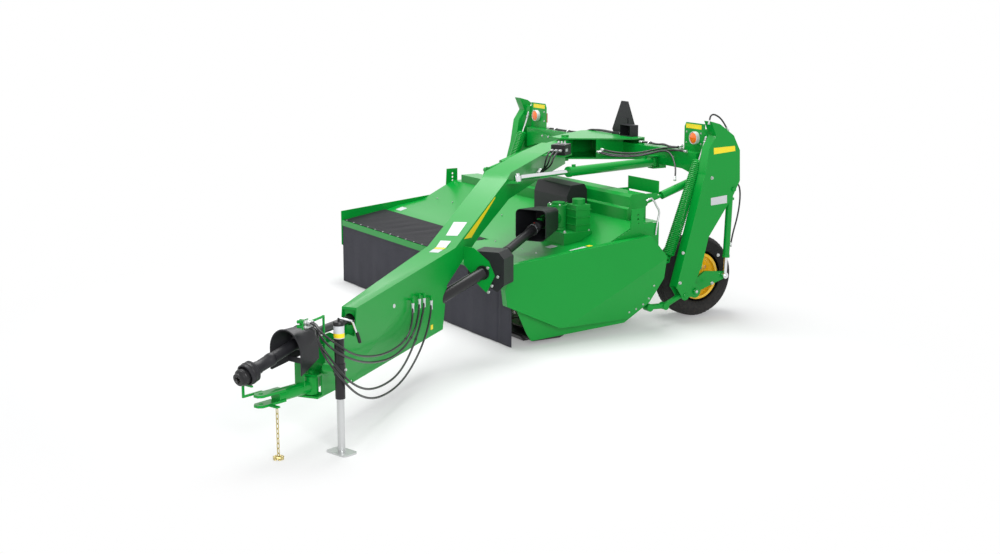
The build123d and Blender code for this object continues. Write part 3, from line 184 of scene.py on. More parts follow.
# Each hose is named for its solid; its points are (off, distance from the pivot, height) in mm
HOSE_ROUTES = {
    "hose_1": [(160, 3855, 705), (160, 3855, 643), (172, 3897, 563), (195, 3997, 488),
               (225, 4181, 462), (262, 4413, 467), (300, 4643, 494), (338, 4871, 538),
               (378, 5095, 595), (417, 5315, 668), (439, 5530, 775), (298, 5560, 872),
               (235, 5494, 904), (150.3, 5494, 904)],
    "hose_2": [(160, 3735, 715), (160, 3735, 654), (166, 3778, 575), (180, 3867, 483),
               (205, 4043, 428), (240, 4273, 409), (277, 4502, 423), (315, 4729, 462),
               (356, 4953, 513), (397, 5173, 578), (433, 5390, 657), (425, 5600, 762),
               (284, 5545, 846), (235, 5462, 904), (150.3, 5462, 904)],
    "hose_3": [(160, 3650, 705), (160, 3650, 644), (164, 3700, 565), (174, 3785, 467),
               (198, 3944, 370), (234, 4161, 290), (273, 4389, 258), (311, 4620, 268),
               (350, 4849, 298), (388, 5074, 351), (423, 5289, 437), (450, 5491, 551),
               (395, 5614, 728), (290, 5590, 830), (235, 5494, 872), (150.3, 5494, 872)],
    "hose_4": [(160, 3520, 660), (160, 3520, 599), (169, 3570, 521), (182, 3656, 425),
               (197, 3808, 316), (223, 4023, 230), (255, 4251, 185), (291, 4481, 181),
               (329, 4711, 202), (369, 4937, 246), (405, 5156, 320), (440, 5364, 422),
               (459, 5552, 559), (410, 5650, 700), (300, 5570, 785), (235, 5462, 872),
               (150.3, 5462, 872)],
}


def smooth_line(name, points, radius):
    """A round curve piece: a NURBS spline of order 3 with the points as its control points."""
    curve = bpy.data.curves.new(name, "CURVE")
    curve.dimensions = "3D"
    curve.bevel_depth = 1.0
    curve.bevel_resolution = 4
    curve.resolution_u = 12
    curve.use_fill_caps = True
    spline = curve.splines.new("NURBS")
    spline.points.add(len(points) - 1)
    spline.points.foreach_set("co", np.c_[points, np.ones(len(points))].ravel())
    spline.points.foreach_set("radius", np.full(len(points), radius / 1000))
    spline.order_u = 3
    spline.use_endpoint_u = True
    return linked(name, curve)


def line_length(piece):
    """Length of a curve piece's centre line, measured on its points without the bevel."""
    depth = piece.data.bevel_depth
    piece.data.bevel_depth = 0
    mesh = bpy.data.meshes.new_from_object(piece)
    piece.data.bevel_depth = depth
    co = np.empty(len(mesh.vertices) * 3)
    mesh.vertices.foreach_get("co", co)
    bpy.data.meshes.remove(mesh)
    return float(np.linalg.norm(np.diff(co.reshape(-1, 3), axis=0), axis=1).sum())


hoses = {}
for name, route in HOSE_ROUTES.items():
    points = on_tongue(np.array(route) * [1, -1, 1])
    piece = smooth_line("tongue_" + name, points, HOSE_R)
    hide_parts(name)
    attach(piece, "tongue")
    hoses[name] = piece
    print(name, "length", round(line_length(piece), 3))

# %% [markdown]
# Numpy makes the new surfaces. A surface is a stack of rings, each a closed loop of points, and one
# helper turns the stack into faces. Bolts, coils, chain links and tyres are all stacks of rings, so
# one way of making faces serves them all.

# %% Surfaces from rings
def ring_faces(count, around, start=0, caps=True, loop=False):
    """Quads between neighbouring rings: corner (i, j), (i, j+1), (i+1, j+1), (i+1, j)."""
    i = np.arange(count if loop else count - 1)[:, None]
    j = np.arange(around)[None, :]
    k, n = (i + 1) % count, (j + 1) % around
    quads = np.stack([i * around + j, i * around + n, k * around + n, k * around + j], -1)
    faces = (quads.reshape(-1, 4) + start).tolist()
    if caps and not loop:
        faces.append((np.arange(around)[::-1] + start).tolist())
        faces.append((np.arange(around) + start + (count - 1) * around).tolist())
    return faces


def piece_from(name, stacks, caps=True, loop=False, smooth=35):
    """One mesh piece from several stacks of rings, each an array (rings, points, 3) in metres."""
    verts, faces, start = [], [], 0
    for stack in stacks:
        count, around = stack.shape[:2]
        verts.append(stack.reshape(-1, 3))
        faces += ring_faces(count, around, start, caps, loop)
        start += count * around
    mesh = bpy.data.meshes.new(name)
    mesh.from_pydata(np.concatenate(verts).tolist(), [], faces)
    return finished(name, mesh, smooth)


def finished(name, mesh, smooth=35):
    """Links a mesh as a piece with outward faces and smooth shading below the given angle."""
    work = bmesh.new()
    work.from_mesh(mesh)
    bmesh.ops.recalc_face_normals(work, faces=work.faces)
    work.to_mesh(mesh)
    work.free()
    return shaded(name, mesh, smooth)


def shaded(name, mesh, smooth):
    """Links a mesh as a piece whose edges are smooth below the given angle in degrees."""
    mesh.polygons.foreach_set("use_smooth", np.ones(len(mesh.polygons), bool))
    mesh.set_sharp_from_angle(angle=math.radians(smooth))
    return linked(name, mesh)


print("faces of a short tube", len(ring_faces(2, 12)))

# %% [markdown]
# Most fittings on a machine are turned parts. A profile of radii and heights is turned about Z, and
# then stood on its place along its own direction. A bent rod or a seam is a circle carried along a
# line instead.

# %% Turned parts and rods
def lathe(profile, around=32):
    """A (radius, height) profile turned about Z: (r cos a, r sin a, h)."""
    p = np.asarray(profile, float)
    a = np.linspace(0, 2 * math.pi, around, endpoint=False)
    return np.stack([p[:, :1] * np.cos(a), p[:, :1] * np.sin(a),
                     np.repeat(p[:, 1:2], around, 1)], -1)


# Radius of the tiny ring in which a turned solid closes at its axis, in mm
CORE = 0.1


def capped(profile, around=32):
    """A turned solid: the profile's two ends run in flat to a tiny ring at the axis."""
    return lathe([(CORE, profile[0][1]), *profile, (CORE, profile[-1][1])], around)


def axes_of(direction):
    """Three unit vectors as rows, the last along the direction."""
    w = np.asarray(direction, float)
    w = w / np.linalg.norm(w)
    side = np.cross([0.0, 0.0, 1.0] if abs(w[2]) < 0.9 else [1.0, 0.0, 0.0], w)
    u = side / np.linalg.norm(side)
    return np.array([u, np.cross(w, u), w])


def stood(points, origin, direction):
    """Stands points drawn along Z at an origin, along a direction: origin + p @ axes."""
    return np.asarray(origin, float) + np.asarray(points) @ axes_of(direction)


def tube_along(line, radius, around=12):
    """Circles across a line's tangents, their first axis from the mean normal of the line."""
    line = np.asarray(line, float)
    tangent = np.gradient(line, axis=0)
    tangent /= np.linalg.norm(tangent, axis=1, keepdims=True)
    flat_normal = np.linalg.svd(line - line.mean(0))[2][2]
    u = np.cross(tangent, flat_normal)
    u /= np.linalg.norm(u, axis=1, keepdims=True)
    v = np.cross(tangent, u)
    a = np.linspace(0, 2 * math.pi, around, endpoint=False)[:, None]
    return line[:, None] + radius * (np.cos(a) * u[:, None] + np.sin(a) * v[:, None])


print("rings of a capped washer", len(capped([(10, 0), (10, 2)])))

# %% [markdown]
# A finished piece needs a material, the body that it moves with and the solids that it stands for.
# These three are always given together, so that no piece is left without a body.

# %% Dressing a piece
def dressed(piece, body, material, *nodes, slot=None):
    """Gives a piece its material and its body, and hides the solids that it stands for."""
    piece.data.materials.clear()
    piece.data.materials.append(material)
    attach(piece, body)
    if nodes:
        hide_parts(*nodes)
    return piece


def placed(name, parts, place_on, body, material, *nodes, slot=None, **shape):
    """A dressed piece of stacks in millimetres, put in the frame by one of the on_ functions."""
    piece = piece_from(name, [place_on(part) for part in parts], **shape)
    return dressed(piece, body, material, *nodes, slot=slot)


# %% [markdown]
# Paint, plastic, rubber and cloth never show one flat colour. Three shader groups are shared: one
# varies a tone in soft clouds and adds dust low down, one gives a fine grain, and one is a woven
# cloth. Each material then sets its own colour, gloss and amounts. Six helpers keep the nodes short.

# %% Node helpers
def new_group(name, inputs, outputs):
    """An empty shader group with float or colour sockets given as (name, kind, value)."""
    group = bpy.data.node_groups.new(name, "ShaderNodeTree")
    for socket, kind, value in inputs:
        made = group.interface.new_socket(socket, in_out="INPUT", socket_type=kind)
        made.default_value = value
    for socket, kind in outputs:
        group.interface.new_socket(socket, in_out="OUTPUT", socket_type=kind)
    return group, group.nodes.new("NodeGroupInput"), group.nodes.new("NodeGroupOutput")


def valued(made, **values):
    """Gives a node its settings and plain input values; an underscore stands for a space."""
    for key, value in values.items():
        if hasattr(made, key):
            setattr(made, key, value)
        else:
            made.inputs[key.replace("_", " ")].default_value = value


def joined(tree, target, **sources):
    """Links sockets to a node's named inputs; an underscore stands for a space."""
    for key, source in sources.items():
        tree.links.new(source, target.inputs[key.replace("_", " ")])


def node(tree, kind, links=(), **values):
    """A node with its settings, plain input values and links from other sockets."""
    made = tree.nodes.new(kind)
    valued(made, **values)
    for target, source in links:
        tree.links.new(source, made.inputs[target])
    return made


def maths(tree, operation, *terms):
    """The result of a Math node whose terms are sockets or plain numbers."""
    made = node(tree, "ShaderNodeMath", operation=operation)
    for number, term in enumerate(terms):
        if isinstance(term, float):
            made.inputs[number].default_value = term
        else:
            tree.links.new(term, made.inputs[number])
    return made.outputs[0]


def ranged(tree, source, low, high, to_low=0.0, to_high=1.0, kind="LINEAR"):
    """The result of a Map Range node: low to high becomes to_low to to_high."""
    made = node(tree, "ShaderNodeMapRange", [("Value", source)], From_Min=low, From_Max=high,
                To_Min=to_low, To_Max=to_high, interpolation_type=kind)
    return made.outputs["Result"]


FLOAT, COLOUR = "NodeSocketFloat", "NodeSocketColor"
print("socket kinds", FLOAT, COLOUR)

# %% [markdown]
# A machine that has worked is a little lighter and darker in soft patches, and dust lies on it near
# the ground. So the colour is scaled by a large, slow noise, and a pale tone is mixed in below half a
# metre where a finer noise is high.

# %% Aged surface group
DUST_TONE = (0.42, 0.37, 0.30, 1)

aged, aged_in, aged_out = new_group(
    "aged_surface",
    [("Colour", COLOUR, (0.5, 0.5, 0.5, 1)), ("Shade", FLOAT, 0.12), ("Dust", FLOAT, 0.15),
     ("Gloss", FLOAT, 0.3)],
    [("Colour", COLOUR), ("Roughness", FLOAT)])
place = node(aged, "ShaderNodeTexCoord").outputs["Object"]
cloud = node(aged, "ShaderNodeTexNoise", [("Vector", place)], Scale=1.6, Detail=3.0)
fine = node(aged, "ShaderNodeTexNoise", [("Vector", place)], Scale=38.0, Detail=4.0)
spread = ranged(aged, cloud.outputs["Fac"], 0.3, 0.7, -1.0, 1.0)
factor = maths(aged, "ADD", maths(aged, "MULTIPLY", spread, aged_in.outputs["Shade"]), 1.0)
tone = node(aged, "ShaderNodeVectorMath", [(0, aged_in.outputs["Colour"]), ("Scale", factor)],
            operation="SCALE")
height = node(aged, "ShaderNodeSeparateXYZ", [("Vector", place)])
low_down = ranged(aged, height.outputs["Z"], 0.0, 0.5, 1.0, 0.0)
speck = ranged(aged, fine.outputs["Fac"], 0.3, 0.9)
dusty = maths(aged, "MULTIPLY", low_down, speck)
amount = maths(aged, "MULTIPLY", dusty, aged_in.outputs["Dust"])
mixed = node(aged, "ShaderNodeMix", [("Factor", amount), ("A", tone.outputs["Vector"])],
             data_type="RGBA", B=DUST_TONE)
rough = maths(aged, "MULTIPLY_ADD", speck, 0.03, aged_in.outputs["Gloss"])
joined(aged, aged_out, Colour=mixed.outputs["Result"], Roughness=maths(aged, "ADD", amount, rough))
print("group", aged.name, len(aged.nodes), "nodes")

# %% [markdown]
# Grain is a fine noise with a slow wave added, which makes a moulded face a little uneven. The weave
# is two crossed wave patterns, one for the warp and one for the weft, and its blotches are faint.

# %% Grain and weave
grain, grain_in, grain_out = new_group(
    "surface_grain", [("Scale", FLOAT, 300.0), ("Wave", FLOAT, 0.3)], [("Height", FLOAT)])
spot = node(grain, "ShaderNodeTexCoord").outputs["Object"]
cells = node(grain, "ShaderNodeTexNoise", [("Vector", spot), ("Scale", grain_in.outputs["Scale"])],
             Detail=3.0)
wave = node(grain, "ShaderNodeTexNoise", [("Vector", spot)], Scale=9.0, Detail=1.0)
waved = maths(grain, "MULTIPLY", wave.outputs["Fac"], grain_in.outputs["Wave"])
relief = maths(grain, "ADD", cells.outputs["Fac"], waved)
joined(grain, grain_out, Height=relief)

weave, weave_in, weave_out = new_group(
    "woven_cloth", [("Colour", COLOUR, (0.02, 0.02, 0.02, 1)), ("Threads", FLOAT, 260.0)],
    [("Colour", COLOUR), ("Height", FLOAT)])
chart = node(weave, "ShaderNodeTexCoord").outputs["Object"]
warp, weft = (node(weave, "ShaderNodeTexWave",
                   [("Vector", chart), ("Scale", weave_in.outputs["Threads"])],
                   bands_direction=way, Distortion=1.2) for way in ("X", "Z"))
crossed = maths(weave, "MULTIPLY", warp.outputs["Fac"], weft.outputs["Fac"])
blotch = node(weave, "ShaderNodeTexNoise", [("Vector", chart)], Scale=5.0, Detail=4.0)
tint = ranged(weave, blotch.outputs["Fac"], 0.3, 0.7, 0.94, 1.07)
cloth_tone = node(weave, "ShaderNodeVectorMath",
                  [(0, weave_in.outputs["Colour"]), ("Scale", tint)], operation="SCALE")
joined(weave, weave_out, Colour=cloth_tone.outputs["Vector"], Height=crossed)
print("groups", [group.name for group in bpy.data.node_groups])

# %% [markdown]
# Each finish is one call of a function, because all share the same groups and differ only in their
# values. Paint, rubber and metal are one kind, and coated cloth with its soft sheen is another.

# %% Making a finish
COAT_ROUGHNESS = 0.12


def srgb(r, g, b):
    """A colour as a screen shows it, 0 to 255, to the linear values that a shader takes."""
    c = np.array([r, g, b]) / 255
    return (*np.where(c <= 0.04045, c / 12.92, ((c + 0.055) / 1.055) ** 2.4), 1.0)


def blank(name):
    """A new material, its node tree and its shader."""
    made = bpy.data.materials.new(name)
    made.use_nodes = True
    return made, made.node_tree, made.node_tree.nodes["Principled BSDF"]


def surface(name, colour, gloss, shade=0.1, dust=0.1, metallic=0.0, grain_scale=300.0, wave=0.3,
            bump=0.05, coat=0.0, specular=0.5):
    """A finish from the shared groups: aged colour and roughness, and grain as bump."""
    made, tree, shader = blank(name)
    valued(shader, Metallic=metallic, Coat_Weight=coat, Coat_Roughness=COAT_ROUGHNESS,
           Specular_IOR_Level=specular)
    look = node(tree, "ShaderNodeGroup", node_tree=aged, Colour=colour, Shade=shade, Dust=dust,
                Gloss=gloss)
    texture = node(tree, "ShaderNodeGroup", node_tree=grain, Scale=grain_scale, Wave=wave)
    raised = node(tree, "ShaderNodeBump", [("Height", texture.outputs["Height"])], Strength=bump,
                  Distance=0.002)
    joined(tree, shader, Base_Color=look.outputs["Colour"], Roughness=look.outputs["Roughness"],
           Normal=raised.outputs["Normal"])
    return made


def cloth(name, colour, threads, roughness, sheen, specular=0.12):
    """A coated woven cloth: the weave group for colour and bump, and a soft sheen."""
    made, tree, shader = blank(name)
    valued(shader, Roughness=roughness, Sheen_Weight=sheen, Specular_IOR_Level=specular)
    look = node(tree, "ShaderNodeGroup", node_tree=weave, Colour=colour, Threads=threads)
    raised = node(tree, "ShaderNodeBump", [("Height", look.outputs["Height"])], Strength=0.25,
                  Distance=0.001)
    joined(tree, shader, Base_Color=look.outputs["Colour"], Normal=raised.outputs["Normal"])
    return made


print("white in linear values", srgb(255, 255, 255)[:3])

# %% [markdown]
# Colours were matched to the photograph under this scene's light, and they are written as a screen
# shows them. Paint has a thin clear coat, castings and mouldings are rougher and grainier, and bright
# parts are metals that mirror the white room.

# %% Finishes
GREEN = surface("green_paint", srgb(2, 150, 52), 0.28, 0.03, 0.01, coat=0.12, specular=0.22,
                grain_scale=420, wave=0.05, bump=0.004)
CAST = surface("green_casting", srgb(6, 140, 50), 0.4, 0.08, 0.04, specular=0.3,
               grain_scale=160, wave=0.5, bump=0.3)
YELLOW = surface("yellow_paint", srgb(250, 196, 20), 0.3, 0.06, 0.12, coat=0.25, bump=0.03)
MOULDED = surface("moulded_black", srgb(30, 30, 34), 0.42, 0.08, 0.03, specular=0.32,
                  grain_scale=520, wave=0.4, bump=0.18)
BLACK = surface("black_enamel", srgb(26, 26, 28), 0.34, 0.08, 0.04, specular=0.35, bump=0.04)
RUBBER = surface("tyre_rubber", srgb(34, 34, 35), 0.66, 0.12, 0.1, specular=0.2,
                 grain_scale=380, wave=0.5, bump=0.2)
HOSE = surface("hose_rubber", srgb(26, 26, 28), 0.34, 0.08, 0.05, grain_scale=700, bump=0.08)
ZINC = surface("zinc_plate", srgb(196, 198, 198), 0.34, 0.1, 0.05, metallic=0.75,
               grain_scale=240, bump=0.06)
CHAIN = surface("yellow_zinc", srgb(206, 190, 128), 0.32, 0.14, 0.05, metallic=0.8, bump=0.05)
CHROME = surface("plated_rod", srgb(225, 227, 229), 0.12, 0.03, 0.0, metallic=1.0, bump=0.01)
STEEL = surface("worn_steel", srgb(142, 140, 136), 0.38, 0.18, 0.3, metallic=0.85,
                grain_scale=200, bump=0.12)
PALE = surface("blank_label", srgb(204, 207, 210), 0.38, 0.03, 0.02, bump=0.02)
YELLOW_FILM = surface("yellow_film", srgb(246, 222, 30), 0.34, 0.04, 0.0, bump=0.02)
AMBER = surface("amber_lens", srgb(255, 116, 18), 0.12, 0.05, 0.0, coat=0.6, grain_scale=120,
                bump=0.1)
RED = surface("red_lens", srgb(190, 20, 18), 0.15, 0.05, 0.0, coat=0.6, grain_scale=120, bump=0.1)
ORANGE = surface("orange_film", srgb(246, 96, 20), 0.4, 0.04, 0.0, bump=0.03)
CURTAIN = cloth("curtain_cloth", srgb(58, 58, 66), 300.0, 0.6, 0.02)
COVER = cloth("cover_cloth", srgb(26, 26, 31), 220.0, 0.55, 0.02)

print("materials", len(bpy.data.materials))

# %% [markdown]
# Every solid gets its finish by name, and what isn't named is painted green. The solids that a new
# piece replaces are named too, because their rounded copies take the same finish.

# %% Finishes on the solids
PAINTS = {
    "mid_shaft": BLACK, "pto_shaft": BLACK, "shaft_outer": BLACK, "shaft_inner": BLACK,
    "jack_tube": BLACK, "jack_leg": ZINC, "valve_block": BLACK, "safety_chain": CHAIN,
    "lamps": AMBER, "emblem": MOULDED, "cutterbar": BLACK, "impeller": STEEL,
    "swing_rod": CHROME, "lift_rod_left": CHROME, "lift_rod_right": CHROME,
    "rim_left": YELLOW, "rim_right": YELLOW, "tyre_left": RUBBER, "tyre_right": RUBBER,
    "front_curtain_left": CURTAIN, "front_curtain_right": CURTAIN, "fabric_cover": COVER,
    "gearbox_guard": MOULDED, "rear_cover": MOULDED, "bracket_guard": MOULDED,
    "cone_guard": MOULDED, "gearbox_base": CAST, "gearbox_head": CAST,
}
PAINTS.update({name: HOSE for name in HOSE_ROUTES})
PAINTS.update({f"disc_{n}": STEEL for n in range(1, 9)})
for name, solid in frame["nodes"].items():
    solid.data.materials.clear()
    solid.data.materials.append(PAINTS.get(name, GREEN))
print("solids in green", sum(name not in PAINTS for name in frame["nodes"]))

# %% [markdown]
# Cut and folded plates have small rounded edges that catch a line of light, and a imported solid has
# none. So the plate-work is copied, its loose triangles are merged back into flat faces, and a
# narrow bevel, one and a half to three millimetres wide, goes on every hard edge. The copy stands
# exactly where the solid is.

# %% Rounded plate edges
MERGE = 2e-5
FLAT_ANGLE = math.radians(0.7)
EDGE_DEGREES = 32


def rounded(name, width):
    """A copy of a solid with merged faces and beveled hard edges, in place of the solid."""
    source = frame["nodes"][name]
    work = bmesh.new()
    work.from_mesh(source.data)
    bmesh.ops.remove_doubles(work, verts=work.verts, dist=MERGE)
    bmesh.ops.dissolve_limit(work, angle_limit=FLAT_ANGLE, verts=work.verts, edges=work.edges)
    mesh = bpy.data.meshes.new(name + "_rounded")
    work.to_mesh(mesh)
    work.free()
    piece = shaded(name + "_rounded", mesh, EDGE_DEGREES)
    bevel = piece.modifiers.new("edge", "BEVEL")
    bevel.width = width
    bevel.segments = 2
    bevel.limit_method = "ANGLE"
    bevel.angle_limit = math.radians(EDGE_DEGREES)
    bevel.use_clamp_overlap = True
    bevel.harden_normals = True
    return dressed(piece, source["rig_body"], PAINTS.get(name, GREEN), name)


# Width of the edge in metres, and the solids that have it
EDGES = {
    0.003: ("carrier_beam", "leg_left", "leg_right", "header_beam", "tongue_beam", "hitch_link",
            "gearbox_base", "gearbox_head", "wheel_arm_left", "wheel_arm_right", "valve_block"),
    0.002: ("header_frame", "end_shield_right", "gearbox_guard", "rear_cover", "bracket_guard",
            "cone_guard", "links"),
    0.0015: ("header_deck", "end_shield_left", "shield_rail", "swathboard", "forming_shields"),
}
for width, names in EDGES.items():
    for name in names:
        rounded(name, width)
    print("edge", width * 1000, "mm on", len(names), "solids")

# %% [markdown]
# The two float springs carry the header's weight. A real one is a close-wound coil of painted wire
# between a fork below and a bright adjusting rod above, so the coil is a helix and not a ribbed
# tube. Each turn lies against the next.

# %% Float springs
SPRING_FOOT = np.array([1570.0, -397.0, 592.0])
SPRING_TOP = np.array([1570.0, -28.0, 1554.0])
SPRING_LENGTH = float(np.linalg.norm(SPRING_TOP - SPRING_FOOT))
COIL_R = 49.6
WIRE_R = 8.6
COIL_TURNS = 51
COIL_INSET = 58.0
THREAD_PITCH = 4.0


def coil(radius, wire, start, end, turns, steps=20, around=8):
    """A helix tube along Z: centre (R cos t, R sin t, start + pitch t / 2 pi)."""
    t = np.linspace(0, 2 * math.pi * turns, turns * steps + 1)
    pitch = (end - start) / turns
    rise = np.full_like(t, pitch / (2 * math.pi))
    radial = np.stack([np.cos(t), np.sin(t), np.zeros_like(t)], -1)
    tangent = np.stack([-radius * np.sin(t), radius * np.cos(t), rise], -1)
    tangent /= np.linalg.norm(tangent, axis=1, keepdims=True)
    second = np.cross(tangent, radial)
    centre = radial * radius + np.stack([0 * t, 0 * t, start + pitch * t / (2 * math.pi)], -1)
    a = np.linspace(0, 2 * math.pi, around, endpoint=False)[:, None]
    return centre[:, None] + wire * (np.cos(a) * radial[:, None] + np.sin(a) * second[:, None])


def spring_body():
    """Stacks of the coil, its two end plugs and the fork's eyes and cheeks, in millimetres."""
    n = SPRING_LENGTH
    parts = [coil(COIL_R, WIRE_R, COIL_INSET, n - COIL_INSET, COIL_TURNS),
             capped([(40, 46), (49, 52), (49, 68), (41, 78)], 24),
             capped([(41, n - 78), (49, n - 68), (49, n - 52), (38, n - 44)], 24)]
    eye = capped([(15, -4.5), (16, -3.5), (16, 3.5), (15, 4.5)], 20)[..., [2, 0, 1]]
    cheek = np.array([[-5, -15, 0], [5, -15, 0], [5, 15, 0], [-5, 15, 0]], float)
    for x in (-17, 17):
        parts += [eye + [x, 0, 0], np.stack([cheek + [x, 0, -2], cheek + [x, 0, 48]])]
    return parts


def spring_rod():
    """Stacks of the adjusting rod, its thread as steps in radius, and three hex nuts."""
    n = SPRING_LENGTH
    turns = np.arange(n + 150, n + 285, THREAD_PITCH)
    heights = np.repeat(turns, 2) + np.tile([0, THREAD_PITCH / 2], len(turns))
    thread = np.stack([np.tile([9.2, 10.0], len(turns)), heights], -1)
    hexagon = capped([(15.5, 0), (17, 1.5), (17, 13.5), (15.5, 15)], 6)
    return [capped([(9, n - 46), (9, n + 280), (7.5, n + 290)], 20), lathe(thread, 20),
            *(hexagon + [0, 0, n + height] for height in (152, 170, 128))]


def sprung(parts, flip):
    """Parts drawn along Z, stood on the spring's foot towards its top on one side."""
    return [stood(part, SPRING_FOOT, SPRING_TOP - SPRING_FOOT) * [flip, 1, 1] for part in parts]


for side_name, flip in SIDES:
    placed(f"spring_{side_name}", sprung(spring_body(), flip), on_machine, "carrier", GREEN,
           "float_springs")
    placed(f"spring_rod_{side_name}", sprung(spring_rod(), flip), on_machine, "carrier", ZINC)
print("spring length", round(SPRING_LENGTH), "mm")

# %% [markdown]
# A field tyre has a rounded flank with moulded rings and a tread of straight ribs whose grooves
# zigzag. The section is turned about the axle, and the grooves' edges swing a few millimetres from
# side to side as they go round.

# %% Tyres
TYRE_FLANK = [(246.5, 112), (252, 120), (262, 128), (270, 132.5), (276, 134.5), (279, 138),
              (285, 138.6), (289, 139.5), (306, 144.6), (322, 143.6), (330, 141.5), (334, 143.0),
              (342, 140.5), (347, 137), (352, 131), (361, 124), (364, 118), (366, 110), (372, 101),
              (377, 93), (381, 84), (386.5, 79), (388.0, 75)]
TYRE_RIBS = [(390, 66), (391, 53), (391, 40), (379, 37), (378, 32),
             (392.5, 28), (393.2, 20), (393.2, 12), (379.5, 1.5)]
ZIGZAGS = 54
ZIGZAG_SWING = 3.2
LUG_DEPTH = 3.0
TREAD_STEPS = 216
# The zigzag fades in over these radii, and the lugs stand within this reach of the shoulder
TREAD_INNER_R, TREAD_FADE = 376, 4
SHOULDER_R, SHOULDER_REACH = 369, 9


def tyre_surface(flip):
    """The section turned about the axle: x swings by a triangle wave on the tread alone."""
    left = np.array(TYRE_FLANK + TYRE_RIBS, float)
    profile = np.concatenate([left, left[::-1] * [1, -1]])
    a = np.linspace(0, 2 * math.pi, TREAD_STEPS, endpoint=False)
    wave = np.abs((a * ZIGZAGS / (2 * math.pi)) % 1 - 0.5) * 4 - 1
    tread = np.clip((profile[:, 0] - TREAD_INNER_R) / TREAD_FADE, 0, 1)
    x = profile[:, 1:2] + ZIGZAG_SWING * tread[:, None] * wave
    shoulder = np.clip(1 - np.abs(profile[:, 0] - SHOULDER_R) / SHOULDER_REACH, 0, 1)
    r = profile[:, :1] - shoulder[:, None] * (wave > 0) * LUG_DEPTH
    ring = [x + flip * TRACK_HALF, r * np.cos(a), r * np.sin(a) + TYRE_R]
    return on_machine(np.stack(ring, -1))


for side_name, flip in SIDES:
    rounded(f"rim_{side_name}", 0.002)
    tread_piece = piece_from(f"tyre_{side_name}_tread", [tyre_surface(flip)], caps=False, smooth=28)
    dressed(tread_piece, f"wheel_{side_name}", RUBBER, f"tyre_{side_name}")
print("tread steps", TREAD_STEPS)

# %% [markdown]
# A wheel is held by six hex nuts on studs, and its valve stands out of the rim. The same nut, with a
# washer below and a bolt's end above, is used all over the machine, so it is one function.

# %% Wheel nuts and valves
NUT_CIRCLE_R = 82.0
NUT_FACE = 74.0


def nut(size, height):
    """A hex nut standing on z = 0 with a washer below and a short bolt end above."""
    s = size / math.sqrt(3)
    top = height * 1.35
    return [capped([(size * 0.72, 0), (size * 0.72, 1.6)], 16),
            capped([(s, 1.6), (s, height - 1.2), (s * 0.9, height)], 6),
            capped([(size * 0.3, height), (size * 0.26, top)], 12)]


def nuts_at(name, spots, direction, size, height, place_on, body):
    """One piece of equal nuts on many spots, all facing the same way."""
    parts = [stood(part, spot, direction) for spot in spots for part in nut(size, height)]
    return placed(name, parts, place_on, body, ZINC)


SIXTHS = np.radians(60 * np.arange(6))
valve_profile = [(CORE, 0), (4, 0), (4, 26), (5, 27), (5, 36), (CORE, 37)]
for side_name, flip in SIDES:
    wheel = f"wheel_{side_name}"
    face = np.full(6, flip * (TRACK_HALF + NUT_FACE))
    spots = np.stack([face, NUT_CIRCLE_R * np.cos(SIXTHS),
                      TYRE_R + NUT_CIRCLE_R * np.sin(SIXTHS)], -1)
    nuts_at(f"wheel_nuts_{side_name}", spots, [flip, 0, 0], 22, 15, on_machine, wheel)
    valve = stood(lathe(valve_profile, 12), [flip * (TRACK_HALF + 60), -150, TYRE_R + 110],
                  [flip, -0.2, 0.2])
    placed(f"tyre_valve_{side_name}", [valve], on_machine, wheel, BLACK)
print("nuts on each wheel", len(SIXTHS))

# %% [markdown]
# The front of the header is closed by hanging curtains of coated cloth, which stop thrown stones.
# They hang from the rail in shallow vertical waves, and a seam runs along the top and the foot.

# %% Curtains
CURTAIN_Y = -2210.5
CURTAIN_TOP, CURTAIN_FOOT = 609.0, 9.5
CURTAIN_HEIGHT = (CURTAIN_TOP - CURTAIN_FOOT) / 1000
CURTAIN_ROWS = 40
CURTAIN_STEP = 9
CLOTH = 0.0045
SEAM_R = 0.0009
SEAM_ROWS = (0, 1, 37)
SEED_PHASE = 1.7
# Columns: mm for one radian of the wave, its share of the seed's phase, phase gained down to the
# foot, share of the swing
CURTAIN_WAVES = [(74, 1, 0, 0.5), (33, 2.1, 0.8, 0.28), (171, -1, 0, 0.6)]
TOP_SWING, FOOT_SWING = 0.54, 3.78
# The fold's depth and half width, its distance from the curtain's left end, and its slant
FOLD_DEPTH, FOLD_HALF, FOLD_INSET, FOLD_SLANT = 4.5, 16, 210, 14
# Columns: side, right end, left end, seed of the waves, body, node that it hangs from
CURTAINS = [("left", 466, 1723, 1, "carrier", "header_deck"),
            ("right", -1721, 442, 2, "front_shield", "shield_rail")]


def sheet_piece(name, middle, material, node_name, body, smooth=50):
    """A cloth slab from its middle surface (rows, columns, 3) in metres, offset along its normals."""
    normal = np.cross(np.gradient(middle, axis=1), np.gradient(middle, axis=0))
    normal /= np.linalg.norm(normal, axis=-1, keepdims=True)
    near, far = middle + normal * CLOTH / 2, middle - normal * CLOTH / 2
    rows, cols = middle.shape[:2]
    ring = np.concatenate([near, far[:, ::-1]], 1)
    faces = ring_faces(rows, 2 * cols, caps=False)
    first = np.arange(cols - 1)
    back = 2 * cols - 1 - first
    for start in (0, (rows - 1) * 2 * cols):
        faces += (np.stack([first, first + 1, back - 1, back], -1) + start).tolist()
    mesh = bpy.data.meshes.new(name)
    mesh.from_pydata(ring.reshape(-1, 3).tolist(), [], faces)
    return dressed(finished(name, mesh, smooth), body, material, node_name, slot="curtain")


